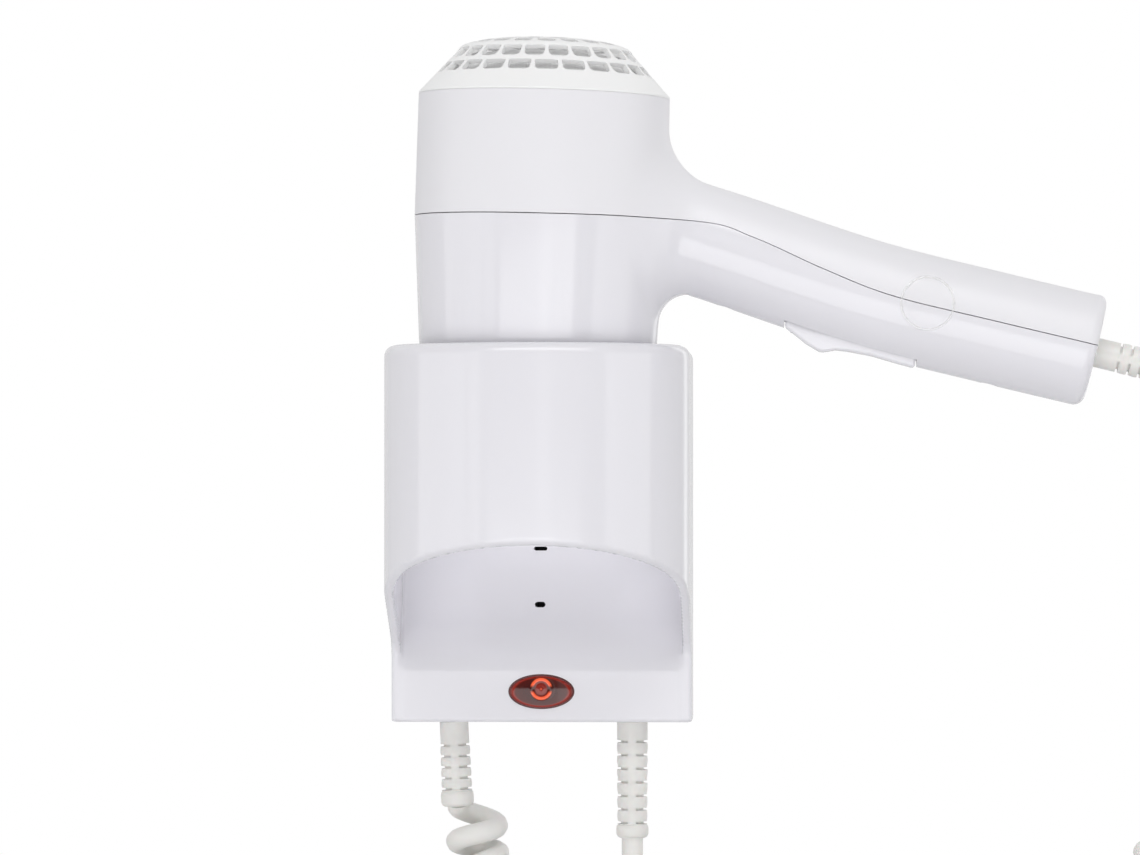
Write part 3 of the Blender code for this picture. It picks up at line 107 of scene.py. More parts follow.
# ---------------------------------------------------------------- finishes
class Shader:
    """A node material under construction, with its surface shader and its object coordinates."""

    def __init__(self, name: str, colour: Sequence[float], roughness: float, metallic: float = 0.0) -> None:
        """Start a material.

        Args:
            name: The material's name.
            colour: Base colour, linear red, green and blue.
            roughness: Roughness, where nothing is linked to it.
            metallic: 1 for bare metal.
        """
        self.material = bpy.data.materials.new(name)
        self.material.use_nodes = True
        self.tree = self.material.node_tree
        self.surface = self.tree.nodes["Principled BSDF"]
        self.surface.inputs["Base Color"].default_value = (*colour, 1)
        self.surface.inputs["Roughness"].default_value = roughness
        self.surface.inputs["Metallic"].default_value = metallic
        self.material.diffuse_color = (*colour, 1)
        self.place = self.add("ShaderNodeTexCoord").outputs["Object"]

    def add(self, kind: str, **settings: object) -> bpy.types.Node:
        """Add a node with some of its properties set, and return it."""
        node = self.tree.nodes.new(kind)
        for key, value in settings.items():
            setattr(node, key, value)
        return node

    def link(self, source: bpy.types.NodeSocket, target: bpy.types.NodeSocket) -> None:
        """Link two sockets."""
        self.tree.links.new(source, target)

    def mapped(self, centre: Place = (0, 0, 0), scale: Place = (1, 1, 1)) -> bpy.types.NodeSocket:
        """Object coordinates measured from a centre and stretched.

        Args:
            centre: The point that becomes the origin.
            scale: Stretch along each axis.

        Returns:
            The socket that holds the coordinates.
        """
        shift = self.add("ShaderNodeVectorMath", operation="SUBTRACT")
        shift.inputs[1].default_value = centre
        self.link(self.place, shift.inputs[0])
        stretch = self.add("ShaderNodeVectorMath", operation="MULTIPLY")
        stretch.inputs[1].default_value = scale
        self.link(shift.outputs[0], stretch.inputs[0])
        return stretch.outputs[0]

    def noise(
        self, scale: float, detail: float = 2.0, place: bpy.types.NodeSocket | None = None
    ) -> bpy.types.NodeSocket:
        """A noise value between 0 and 1.

        Args:
            scale: Waves in each metre.
            detail: Octaves of finer noise.
            place: Coordinates, or None for the plain object coordinates.

        Returns:
            The socket that holds the value.
        """
        node = self.add("ShaderNodeTexNoise")
        node.inputs["Scale"].default_value = scale
        node.inputs["Detail"].default_value = detail
        self.link(place or self.place, node.inputs["Vector"])
        return node.outputs["Fac"]

    def ramp(
        self, value: bpy.types.NodeSocket, *stops: tuple[float, Sequence[float]]
    ) -> bpy.types.NodeSocket:
        """A colour ramp over a value, through the given (place, colour) stops."""
        node = self.add("ShaderNodeValToRGB")
        band = node.color_ramp
        while len(band.elements) < len(stops):
            band.elements.new(0.5)
        for element, (at, colour) in zip(band.elements, stops):
            element.position = at
        for element, (at, colour) in zip(band.elements, stops):
            element.color = (*colour, 1)
        self.link(value, node.inputs["Fac"])
        return node.outputs["Color"]

    def spread(self, value: bpy.types.NodeSocket, low: float, high: float) -> bpy.types.NodeSocket:
        """The 0 to 1 value spread between two numbers."""
        node = self.add("ShaderNodeMapRange")
        node.inputs["From Min"].default_value = 0.3
        node.inputs["From Max"].default_value = 0.7
        node.inputs["To Min"].default_value = low
        node.inputs["To Max"].default_value = high
        self.link(value, node.inputs["Value"])
        return node.outputs["Result"]

    def bump(self, height: bpy.types.NodeSocket, strength: float, distance: float) -> None:
        """Raise the surface's relief by a height value."""
        node = self.add("ShaderNodeBump")
        node.inputs["Strength"].default_value = strength
        node.inputs["Distance"].default_value = distance
        self.link(height, node.inputs["Height"])
        self.link(node.outputs["Normal"], self.surface.inputs["Normal"])


def shaded(colour: Sequence[float], share: float) -> tuple[float, float, float]:
    """The colour made darker by a share of itself."""
    return tuple(channel * (1 - share) for channel in colour)


@dataclass(frozen=True)
class MouldedPlastic:
    """Injection-moulded plastic: a polished or a spark-eroded skin with slight flow and tone variation."""

    name: str
    colour: tuple[float, float, float]
    roughness: float = 0.2
    grain: float = 0.02
    coat: float = 0.0

    def material(self) -> bpy.types.Material:
        """Build the node material."""
        made = Shader(self.name, self.colour, self.roughness)
        flow = made.noise(14.0, 3.0, made.mapped(scale=(1.0, 1.0, 0.35)))
        tone = made.ramp(flow, (0.3, shaded(self.colour, 0.022)), (0.7, self.colour))
        made.link(tone, made.surface.inputs["Base Color"])
        skin = made.noise(1500.0, 3.0)
        low, high = self.roughness * 0.85, self.roughness * 1.2
        made.link(made.spread(made.noise(60.0, 4.0), low, high), made.surface.inputs["Roughness"])
        made.bump(skin, self.grain, 0.00004)
        made.surface.inputs["IOR"].default_value = 1.5
        made.surface.inputs["Coat Weight"].default_value = self.coat
        made.surface.inputs["Coat Roughness"].default_value = 0.06
        made.surface.inputs["Subsurface Weight"].default_value = 0.04
        made.surface.inputs["Subsurface Scale"].default_value = 0.002
        made.surface.inputs["Subsurface Radius"].default_value = (1.0, 0.9, 0.8)
        return made.material


@dataclass(frozen=True)
class SoftVinyl:
    """Soft vinyl of cords and strain reliefs: satin, with faint draw lines and handling marks."""

    name: str
    colour: tuple[float, float, float]
    roughness: float = 0.42

    def material(self) -> bpy.types.Material:
        """Build the node material."""
        made = Shader(self.name, self.colour, self.roughness)
        marks = made.noise(140.0, 5.0)
        tone = made.ramp(marks, (0.35, shaded(self.colour, 0.05)), (0.62, self.colour))
        made.link(tone, made.surface.inputs["Base Color"])
        sheen = made.spread(made.noise(45.0, 2.0), self.roughness * 0.8, self.roughness * 1.15)
        made.link(sheen, made.surface.inputs["Roughness"])
        made.bump(made.noise(2200.0, 2.0), 0.12, 0.00005)
        made.surface.inputs["Subsurface Weight"].default_value = 0.08
        made.surface.inputs["Subsurface Scale"].default_value = 0.002
        return made.material


@dataclass(frozen=True)
class BareMetal:
    """Turned, plated or drawn metal with fine tool lines."""

    name: str
    colour: tuple[float, float, float]
    roughness: float = 0.3
    lines: tuple[float, float, float] = (1.0, 1.0, 12.0)

    def material(self) -> bpy.types.Material:
        """Build the node material."""
        made = Shader(self.name, self.colour, self.roughness, 1.0)
        fine = made.noise(260.0, 4.0, made.mapped(scale=self.lines))
        tone = made.ramp(fine, (0.3, shaded(self.colour, 0.18)), (0.7, self.colour))
        made.link(tone, made.surface.inputs["Base Color"])
        made.link(
            made.spread(fine, self.roughness * 0.75, self.roughness * 1.4), made.surface.inputs["Roughness"]
        )
        made.bump(fine, 0.08, 0.00004)
        return made.material


@dataclass(frozen=True)
class MicaSheet:
    """Pressed mica: brown-grey flakes with a low sheen."""

    name: str
    colour: tuple[float, float, float]

    def material(self) -> bpy.types.Material:
        """Build the node material."""
        made = Shader(self.name, self.colour, 0.4)
        flakes = made.add("ShaderNodeTexVoronoi")
        flakes.inputs["Scale"].default_value = 320.0
        made.link(made.place, flakes.inputs["Vector"])
        tone = made.ramp(
            flakes.outputs["Distance"],
            (0.0, shaded(self.colour, 0.35)),
            (0.45, self.colour),
            (1.0, (0.8, 0.7, 0.55)),
        )
        made.link(tone, made.surface.inputs["Base Color"])
        made.bump(flakes.outputs["Distance"], 0.15, 0.0001)
        return made.material


@dataclass(frozen=True)
class PrintedBoard:
    """A circuit board: solder mask over copper tracks."""

    name: str
    colour: tuple[float, float, float]

    def material(self) -> bpy.types.Material:
        """Build the node material."""
        made = Shader(self.name, self.colour, 0.35)
        tracks = made.add("ShaderNodeTexBrick")
        tracks.inputs["Scale"].default_value = 260.0
        tracks.inputs["Mortar Size"].default_value = 0.09
        tracks.inputs["Color1"].default_value = (*self.colour, 1)
        tracks.inputs["Color2"].default_value = (*shaded(self.colour, 0.15), 1)
        tracks.inputs["Mortar"].default_value = (0.16, 0.33, 0.12, 1)
        made.link(made.place, tracks.inputs["Vector"])
        made.link(tracks.outputs["Color"], made.surface.inputs["Base Color"])
        made.bump(tracks.outputs["Fac"], 0.1, 0.00005)
        return made.material


@dataclass(frozen=True)
class LintMesh:
    """Fine woven filter cloth behind the grille."""

    name: str
    colour: tuple[float, float, float]
    threads: float = 1400.0

    def material(self) -> bpy.types.Material:
        """Build the node material."""
        made = Shader(self.name, self.colour, 0.7)
        weave = made.add("ShaderNodeTexChecker")
        weave.inputs["Scale"].default_value = self.threads
        weave.inputs["Color1"].default_value = (*self.colour, 1)
        weave.inputs["Color2"].default_value = (*shaded(self.colour, 0.04), 1)
        made.link(made.place, weave.inputs["Vector"])
        made.link(weave.outputs["Color"], made.surface.inputs["Base Color"])
        made.bump(weave.outputs["Fac"], 0.3, 0.0001)
        return made.material


@dataclass(frozen=True)
class PilotLensPlastic:
    """Clear red plastic with painted light: a bright band near its rim, a bright ring and centre dot over the
    lamp behind it, and a faint painted glow.
    """

    name: str
    centre: tuple[float, float, float]
    lamp_centre: tuple[float, float, float]
    half_length: float
    half_height: float

    def material(self) -> bpy.types.Material:
        """Build the node material."""
        made = Shader(self.name, (0.09, 0.006, 0.004), 0.08)
        oval = made.add("ShaderNodeVectorMath", operation="LENGTH")
        scale = (1 / self.half_length, 0.0, 1 / self.half_height)
        made.link(made.mapped(self.centre, scale), oval.inputs[0])
        # The lens's own dark red, darker through the middle, with a painted highlight band near its edge
        # where light catches the rim.
        rim = made.ramp(
            oval.outputs["Value"],
            (0.0, (0.075, 0.003, 0.001)),
            (0.45, (0.040, 0.002, 0.001)),
            (0.80, (0.060, 0.003, 0.001)),
            (0.88, (0.24, 0.012, 0.004)),
            (0.97, (0.09, 0.004, 0.002)),
        )
        ring = made.add("ShaderNodeVectorMath", operation="LENGTH")
        made.link(made.mapped(self.lamp_centre, (1000.0, 0.0, 1000.0)), ring.inputs[0])
        scaled = made.add("ShaderNodeMath", operation="MULTIPLY")
        scaled.inputs[1].default_value = 0.2
        made.link(ring.outputs["Value"], scaled.inputs[0])
        # Painted highlights seen through the lens: a bright dot where light glints on the lamp's tip, and a
        # bright orange ring where light catches the boss round it.
        painted_ring_highlight = made.ramp(
            scaled.outputs[0],
            (0.0, (0.75, 0.10, 0.03)),
            (0.07, (0.30, 0.02, 0.01)),
            (0.13, (0.16, 0.01, 0.005)),
            (0.19, (0.22, 0.015, 0.008)),
            (0.49, (0.12, 0.008, 0.004)),
            (0.54, (0.80, 0.095, 0.03)),
            (0.68, (0.85, 0.11, 0.035)),
            (0.75, (0.0, 0.0, 0.0)),
        )
        # Where the painted ring shows: not in the gaps at its left and right, and always near the centre dot.
        side = made.add("ShaderNodeSeparateXYZ")
        made.link(made.mapped(self.lamp_centre, (1.0, 1.0, 1.0)), side.inputs[0])
        upright = made.add("ShaderNodeMath", operation="ABSOLUTE")
        made.link(side.outputs["Z"], upright.inputs[0])
        open_sides = made.add("ShaderNodeMapRange")
        open_sides.inputs["From Min"].default_value = 0.0005
        open_sides.inputs["From Max"].default_value = 0.0014
        made.link(upright.outputs[0], open_sides.inputs["Value"])
        near = made.add("ShaderNodeMath", operation="LESS_THAN")
        near.inputs[1].default_value = 0.4
        made.link(scaled.outputs[0], near.inputs[0])
        painted_ring_mask = made.add("ShaderNodeMath", operation="MAXIMUM")
        made.link(open_sides.outputs[0], painted_ring_mask.inputs[0])
        made.link(near.outputs[0], painted_ring_mask.inputs[1])
        both = made.add("ShaderNodeMix", data_type="RGBA", blend_type="LIGHTEN")
        made.link(painted_ring_mask.outputs[0], both.inputs[0])
        made.link(rim, both.inputs[6])
        made.link(painted_ring_highlight, both.inputs[7])
        made.link(both.outputs[2], made.surface.inputs["Base Color"])
        made.bump(made.noise(900.0), 0.02, 0.00005)
        made.surface.inputs["Coat Weight"].default_value = 0.1
        made.surface.inputs["Coat Roughness"].default_value = 0.03
        # Painted glow: the lens gives off its own colour, painted highlights included, though the lens itself
        # is no lamp.
        made.link(both.outputs[2], made.surface.inputs["Emission Color"])
        made.surface.inputs["Emission Strength"].default_value = 0.35
        return made.material


@dataclass(frozen=True)
class ClearFilm:
    """Clear self-adhesive film, seen only by its gloss and a painted highlight along its cut edge."""

    name: str
    centre: tuple[float, float, float]
    radius: float

    def material(self) -> bpy.types.Material:
        """Build the node material."""
        made = Shader(self.name, (0.93, 0.93, 0.92), 0.12)
        reach = made.add("ShaderNodeVectorMath", operation="LENGTH")
        made.link(made.mapped(self.centre, (1 / self.radius, 0.0, 1 / self.radius)), reach.inputs[0])
        # Painted highlight: the film is made whiter and less clear in a ring along its cut edge.
        edge = made.ramp(
            reach.outputs["Value"],
            (0.0, (0.03, 0.03, 0.03)),
            (0.90, (0.03, 0.03, 0.03)),
            (0.93, (0.32, 0.32, 0.32)),
            (0.97, (0.15, 0.15, 0.15)),
        )
        made.link(edge, made.surface.inputs["Alpha"])
        made.link(made.spread(made.noise(80.0), 0.08, 0.2), made.surface.inputs["Roughness"])
        made.bump(made.noise(300.0), 0.05, 0.00005)
        return made.material


WHITE = (0.790, 0.781, 0.822)
FINISHES: dict[Slot, object] = {
    Slot.GLOSS: MouldedPlastic("gloss_white_plastic", WHITE, 0.15, coat=0.3),
    Slot.UPPER: MouldedPlastic("upper_casing_plastic", (0.815, 0.808, 0.838), 0.36, grain=0.05),
    Slot.GRILLE: MouldedPlastic("grille_plastic", (0.905, 0.905, 0.905), 0.34, grain=0.08),
    Slot.CORD: SoftVinyl("cord_vinyl", (0.80, 0.79, 0.762)),
    Slot.GREY: MouldedPlastic("grey_moulding", (0.33, 0.34, 0.36), 0.45, grain=0.2),
    Slot.BLACK: MouldedPlastic("black_moulding", (0.012, 0.012, 0.013), 0.45, grain=0.2),
    Slot.GLASS: MouldedPlastic("lamp_glass_skin", (0.75, 0.22, 0.06), 0.08, coat=0.5),
    Slot.STEEL: BareMetal("steel_bright", (0.55, 0.55, 0.57)),
    Slot.BRASS: BareMetal("brass_pins", (0.70, 0.58, 0.34), 0.26),
    Slot.MICA: MicaSheet("pressed_mica", (0.45, 0.36, 0.25)),
    Slot.WIRE: BareMetal("oxidised_wire", (0.22, 0.20, 0.19), 0.42),
    Slot.BOARD: PrintedBoard("circuit_board", (0.03, 0.20, 0.06)),
    Slot.RED: MouldedPlastic("red_button", (0.32, 0.012, 0.008), 0.34),
}
MATERIALS: dict[str, bpy.types.Material] = {}


def finish_of(slot: Slot) -> bpy.types.Material:
    """The material of a slot, built once."""
    if slot.value not in MATERIALS:
        MATERIALS[slot.value] = FINISHES[slot].material()
    return MATERIALS[slot.value]


# ---------------------------------------------------------------- mesh making
def link_object(name: str, mesh: bpy.types.Mesh) -> bpy.types.Object:
    """Put a mesh in the scene as an object at the origin."""
    made = bpy.data.objects.new(name, mesh)
    bpy.context.scene.collection.objects.link(made)
    return made


def mesh_from(
    name: str, points: Sequence[Sequence[float]], faces: Sequence[Sequence[int]]
) -> bpy.types.Object:
    """An object from plain lists of points and faces."""
    mesh = bpy.data.meshes.new(name)
    mesh.from_pydata([tuple(map(float, point)) for point in points], [], [tuple(map(int, f)) for f in faces])
    mesh.update()
    return link_object(name, mesh)


def baked(piece: bpy.types.Object) -> bpy.types.Object:
    """Make the modifiers' result the piece's own plain mesh.

    Args:
        piece: An object with live modifiers.

    Returns:
        The same object, with no modifiers.
    """
    bpy.context.view_layer.update()
    result = bpy.data.meshes.new_from_object(piece.evaluated_get(bpy.context.evaluated_depsgraph_get()))
    piece.modifiers.clear()
    old = piece.data
    piece.data = result
    result.name = piece.name
    bpy.data.meshes.remove(old)
    return piece


def cut_by(piece: bpy.types.Object, *cutters: bpy.types.Object) -> bpy.types.Object:
    """Cut closed cutters from a closed piece, and remove them."""
    for cutter in cutters:
        boolean = piece.modifiers.new("boolean", "BOOLEAN")
        boolean.operation = "DIFFERENCE"
        boolean.solver = "EXACT"
        boolean.object = cutter
    baked(piece)
    for cutter in cutters:
        bpy.data.objects.remove(cutter)
    return piece


def smooth(piece: bpy.types.Object, angle: float = 35.0) -> bpy.types.Object:
    """Shade the piece smooth, with edges sharper than the angle left crisp."""
    piece.data.polygons.foreach_set("use_smooth", [True] * len(piece.data.polygons))
    piece.data.set_sharp_from_angle(angle=math.radians(angle))
    return piece


def placed(piece: bpy.types.Object, matrix: Matrix) -> bpy.types.Object:
    """Move the piece's own mesh, so that its object stays at the origin."""
    piece.data.transform(matrix)
    piece.data.update()
    return piece


def dressed(
    piece: bpy.types.Object, slot: Slot, material: bpy.types.Material | None = None
) -> bpy.types.Object:
    """Give the piece one material and its slot's name."""
    piece.data.materials.clear()
    piece.data.materials.append(material or finish_of(slot))
    return piece


def lathe(name: str, profile: Sequence[tuple[float, float]], steps: int = 96) -> bpy.types.Object:
    """Turn a profile of (radius, height) points round the Z axis; a radius of 0 closes the pole.

    Args:
        name: The object's name.
        profile: The section, from its lowest outer point up the outside and down the inside.
        steps: Points round the axis.

    Returns:
        The turned object.
    """
    points, rows = [], []
    for radius, height in profile:
        if radius < 1e-9:
            rows.append([len(points)] * steps)
            points.append((0, 0, height))
            continue
        rows.append([len(points) + step for step in range(steps)])
        for step in range(steps):
            angle = math.tau * step / steps
            points.append((radius * math.cos(angle), radius * math.sin(angle), height))
    faces = []
    closed = profile[0][0] > 1e-9
    pairs = list(zip(rows, rows[1:] + rows[:1])) if closed else list(zip(rows, rows[1:]))
    for low, high in pairs:
        for step in range(steps):
            after = (step + 1) % steps
            loop = [low[step], low[after], high[after], high[step]]
            face = [v for i, v in enumerate(loop) if v not in loop[:i]]
            if len(face) > 2:
                faces.append(face)
    made = mesh_from(name, points, faces)
    tidy_normals(made)
    return made


def tidy_normals(piece: bpy.types.Object, weld: float = 1e-6) -> bpy.types.Object:
    """Merge doubles and turn every face outwards."""
    shape = bmesh.new()
    shape.from_mesh(piece.data)
    bmesh.ops.remove_doubles(shape, verts=shape.verts, dist=weld)
    bmesh.ops.recalc_face_normals(shape, faces=shape.faces)
    shape.to_mesh(piece.data)
    shape.free()
    return piece


def slab(
    name: str, outline: Sequence[tuple[float, float]], low: float, high: float, axis: str
) -> bpy.types.Object:
    """Extrude a closed outline along an axis.

    Args:
        name: The object's name.
        outline: Points in the plane of the other two axes, in the order XYZ.
        low: Where the extrusion starts.
        high: Where it ends.
        axis: "X", "Y" or "Z".

    Returns:
        The extruded object.
    """
    spot = "XYZ".index(axis)
    points = []
    for level in (low, high):
        for a, b in outline:
            point = [a, b]
            point.insert(spot, level)
            points.append(point)
    count = len(outline)
    faces = [list(range(count)), list(range(count, 2 * count))]
    faces += [[i, (i + 1) % count, (i + 1) % count + count, i + count] for i in range(count)]
    return tidy_normals(mesh_from(name, points, faces))


def rod(name: str, start: Vector, end: Vector, radius: float, sides: int = 32) -> bpy.types.Object:
    """A plain closed cylinder between two points."""
    along = Vector(end) - Vector(start)
    angles = [math.tau * i / sides for i in range(sides)]
    section = [(radius * math.cos(a), radius * math.sin(a)) for a in angles]
    made = slab(name, section, 0.0, along.length, "Z")
    turn = along.to_track_quat("Z", "Y").to_matrix().to_4x4()
    return placed(made, Matrix.Translation(start) @ turn)


def bevelled(
    piece: bpy.types.Object, width: float, segments: int = 3, angle: float = 30.0
) -> bpy.types.Object:
    """Round the piece's sharp edges."""
    bevel = piece.modifiers.new("bevel", "BEVEL")
    bevel.width = width
    bevel.segments = segments
    bevel.limit_method = "ANGLE"
    bevel.angle_limit = math.radians(angle)
    return baked(piece)


def smooth_line(points: Sequence[Sequence[float]], spacing: float) -> np.ndarray:
    """Points about `spacing` apart on a Catmull-Rom curve through the given ones."""
    route = [Vector(point) for point in points]
    padded = [2 * route[0] - route[1], *route, 2 * route[-1] - route[-2]]
    line = []
    for before, start, end, after in zip(padded, padded[1:], padded[2:], padded[3:]):
        count = max(1, round((end - start).length / spacing))
        for step in range(count):
            t = step / count
            line.append(
                0.5
                * (
                    2 * start
                    + (end - before) * t
                    + (2 * before - 5 * start + 4 * end - after) * t**2
                    + (3 * start - before - 3 * end + after) * t**3
                )
            )
    return np.array([*line, route[-1]], float)


# ---------------------------------------------------------------- rounded solids from distance fields
def round_max(first: np.ndarray, second: np.ndarray, radius: float) -> np.ndarray:
    """The meeting of two solids' fields, with its edge rounded."""
    a, b = np.maximum(first + radius, 0), np.maximum(second + radius, 0)
    return np.minimum(-radius, np.maximum(first, second)) + np.hypot(a, b)


def round_min(first: np.ndarray, second: np.ndarray, radius: float) -> np.ndarray:
    """The join of two solids' fields, with a fillet in its corner."""
    a, b = np.maximum(radius - first, 0), np.maximum(radius - second, 0)
    return np.maximum(radius, np.minimum(first, second)) - np.hypot(a, b)


def gradient(shape: Field, points: np.ndarray, reach: float = 2e-5) -> np.ndarray:
    """The field's direction of growth at each point."""
    parts = []
    for axis in range(3):
        step = np.zeros(3)
        step[axis] = reach
        parts.append((shape(points + step) - shape(points - step)) / (2 * reach))
    return np.stack(parts, 1)


def onto_surface(shape: Field, points: np.ndarray, most: float, rounds: int = 4) -> np.ndarray:
    """Move points along the field's slope until they lie on its zero surface."""
    for _ in range(rounds):
        slope = gradient(shape, points)
        size = np.maximum((slope**2).sum(1), 0.05)
        move = (shape(points) / size)[:, None] * slope
        length = np.maximum(np.linalg.norm(move, axis=1), 1e-12)
        points = points - move * np.minimum(1.0, most / length)[:, None]
    return points


def surface_of(shape: Field, low: Place, high: Place, step: float) -> tuple[np.ndarray, np.ndarray]:
    """Quads over the zero surface of a field, one vertex for each grid cell that the surface crosses.

    Args:
        shape: The solid's signed distance field, negative inside.
        low: Lowest corner of the space to look in.
        high: Highest corner.
        step: The grid's spacing.

    Returns:
        The points, on the surface, and the four-sided faces, facing out.
    """
    axes = [np.arange(a, b + step, step) for a, b in zip(low, high)]
    grid = np.stack(np.meshgrid(*axes, indexing="ij"), -1)
    value = shape(grid.reshape(-1, 3)).reshape(grid.shape[:3])
    cells = tuple(n - 1 for n in value.shape)
    total = np.zeros((*cells, 3))
    count = np.zeros(cells)
    crossings = []
    for axis in range(3):
        before = np.take(value, range(cells[axis]), axis)
        after = np.take(value, range(1, cells[axis] + 1), axis)
        crosses = (before < 0) != (after < 0)
        share = np.where(crosses, before / np.where(crosses, before - after, 1), 0)
        at = np.take(grid, range(cells[axis]), axis).copy()
        at[..., axis] += share * step
        crossings.append((crosses, before < 0))
        others = [a for a in range(3) if a != axis]
        for i in (0, 1):
            for j in (0, 1):
                pick = [slice(None)] * 3
                pick[others[0]] = slice(i, i + cells[others[0]])
                pick[others[1]] = slice(j, j + cells[others[1]])
                hit = crosses[tuple(pick)]
                total += np.where(hit[..., None], at[tuple(pick)], 0)
                count += hit
    active = count > 0
    index = np.full(cells, -1)
    index[active] = np.arange(active.sum())
    points = total[active] / count[active][:, None]
    faces = []
    for axis, (crosses, inside) in enumerate(crossings):
        a, b = [k for k in range(3) if k != axis]
        spots = np.argwhere(crosses)
        at_a, at_b = spots[:, a], spots[:, b]
        spots = spots[(at_a > 0) & (at_b > 0) & (at_a < cells[a]) & (at_b < cells[b])]
        corners = []
        for da, db in ((-1, -1), (0, -1), (0, 0), (-1, 0)):
            cell = spots.copy()
            cell[:, a] += da
            cell[:, b] += db
            corners.append(index[tuple(cell.T)])
        quad = np.stack(corners, 1)
        forward = inside[tuple(spots.T)]
        if axis == 1:
            forward = ~forward
        faces.append(np.where(forward[:, None], quad, quad[:, ::-1]))
    return onto_surface(shape, points, step * 0.6), np.concatenate(faces)


def shade_by(piece: bpy.types.Object, shape: Field, agree: float = 0.72) -> bpy.types.Object:
    """Give the piece the field's own normals wherever its faces follow the field, on either side of a wall.

    Args:
        piece: An object whose mesh is in the field's coordinates.
        shape: The field.
        agree: The least cosine between a face and the field's slope.

    Returns:
        The same object.
    """
    mesh = piece.data
    mesh.polygons.foreach_set("use_smooth", [True] * len(mesh.polygons))
    points = np.zeros(len(mesh.vertices) * 3)
    mesh.vertices.foreach_get("co", points)
    slope = gradient(shape, points.reshape(-1, 3))
    slope /= np.maximum(np.linalg.norm(slope, axis=1), 1e-9)[:, None]
    corner = np.zeros(len(mesh.loops), int)
    mesh.loops.foreach_get("vertex_index", corner)
    totals = np.zeros(len(mesh.polygons), int)
    mesh.polygons.foreach_get("loop_total", totals)
    flat = np.zeros(len(mesh.polygons) * 3)
    mesh.polygons.foreach_get("normal", flat)
    face = np.repeat(flat.reshape(-1, 3), totals, axis=0)
    wanted = slope[corner]
    match = (wanted * face).sum(1)
    chosen = np.where((match > agree)[:, None], wanted, np.where((match < -agree)[:, None], -wanted, face))
    mesh.normals_split_custom_set([tuple(n) for n in chosen])
    return piece


def trimmed(
    points: np.ndarray,
    faces: np.ndarray,
    name: str,
    cuts: Sequence[tuple[Callable, Callable, float, bool]],
    snap: float,
) -> bpy.types.Object:
    """A surface cut clean along level lines.

    Args:
        points: The surface's points.
        faces: Its faces.
        name: The object's name.
        cuts: For each cut, what to take from a point's height, the surface's own field for moved points, the
            level to cut at, and whether to keep what is above it.
        snap: Points nearer to a cut than this are moved onto it.

    Returns:
        The open surface as an object.
    """
    made = mesh_from(name, points, faces)
    for offset, onto, level, keep_above in cuts:
        mesh = made.data
        place = np.zeros(len(mesh.vertices) * 3)
        mesh.vertices.foreach_get("co", place)
        place = place.reshape(-1, 3)
        for _ in range(3):
            height = place[:, 2] - offset(place[:, 0]) - level
            near = np.abs(height) < snap
            place[near, 2] -= height[near]
            flat = onto_surface(onto, place[near], snap)
            flat[:, 2] = offset(flat[:, 0]) + level
            place[near] = flat
        place[:, 2] -= offset(place[:, 0])
        mesh.vertices.foreach_set("co", place.ravel())
        shape = bmesh.new()
        shape.from_mesh(mesh)
        bmesh.ops.bisect_plane(
            shape,
            geom=[*shape.verts, *shape.edges, *shape.faces],
            dist=2e-6,
            plane_co=(0, 0, level),
            plane_no=(0, 0, 1),
            clear_inner=keep_above,
            clear_outer=not keep_above,
        )
        for vert in shape.verts:
            vert.co.z += float(offset(np.array([vert.co.x]))[0])
        shape.to_mesh(mesh)
        shape.free()
    made.data.update()
    return made


# ---------------------------------------------------------------- geometry nodes
class NodeTool:
    """A Geometry Nodes tree with named inputs, ended by Realize Instances and Set Material."""

    def __init__(self, name: str, inputs: Sequence[tuple[str, str]]) -> None:
        """Start the tree.

        Args:
            name: The tree's name.
            inputs: (name, socket type) of each input after the geometry.
        """
        self.tree = bpy.data.node_groups.new(name, "GeometryNodeTree")
        self.tree.interface.new_socket(name="Geometry", in_out="INPUT", socket_type="NodeSocketGeometry")
        self.keys: dict[str, str] = {}
        for label, kind in [*inputs, ("Material", "NodeSocketMaterial")]:
            socket = self.tree.interface.new_socket(name=label, in_out="INPUT", socket_type=kind)
            self.keys[label] = socket.identifier
        self.tree.interface.new_socket(name="Geometry", in_out="OUTPUT", socket_type="NodeSocketGeometry")
        self.source = self.tree.nodes.new("NodeGroupInput").outputs

    def add(self, kind: str, **settings: object) -> bpy.types.Node:
        """Add a node with some of its properties set, and return it."""
        node = self.tree.nodes.new(kind)
        for key, value in settings.items():
            setattr(node, key, value)
        return node

    def link(self, source: bpy.types.NodeSocket, target: bpy.types.NodeSocket) -> None:
        """Link two sockets."""
        self.tree.links.new(source, target)

    def maths(self, operation: str, *values: bpy.types.NodeSocket | float) -> bpy.types.NodeSocket:
        """A Math node on sockets or plain numbers, and its result."""
        node = self.add("ShaderNodeMath", operation=operation)
        for socket, value in zip(node.inputs, values):
            if isinstance(value, (int, float)):
                socket.default_value = value
            else:
                self.link(value, socket)
        return node.outputs[0]

    def close(self, geometry: bpy.types.NodeSocket) -> None:
        """End the tree with realised, dressed geometry."""
        real = self.add("GeometryNodeRealizeInstances")
        dress = self.add("GeometryNodeSetMaterial")
        self.link(geometry, real.inputs["Geometry"])
        self.link(real.outputs["Geometry"], dress.inputs["Geometry"])
        self.link(self.source["Material"], dress.inputs["Material"])
        self.link(dress.outputs["Geometry"], self.add("NodeGroupOutput").inputs[0])

    def use(self, piece: bpy.types.Object, **values: object) -> None:
        """Put the tree on a piece, with its inputs set by their identifiers."""
        modifier = piece.modifiers.new(self.tree.name, "NODES")
        modifier.node_group = self.tree
        for label, value in values.items():
            modifier[self.keys[label]] = value


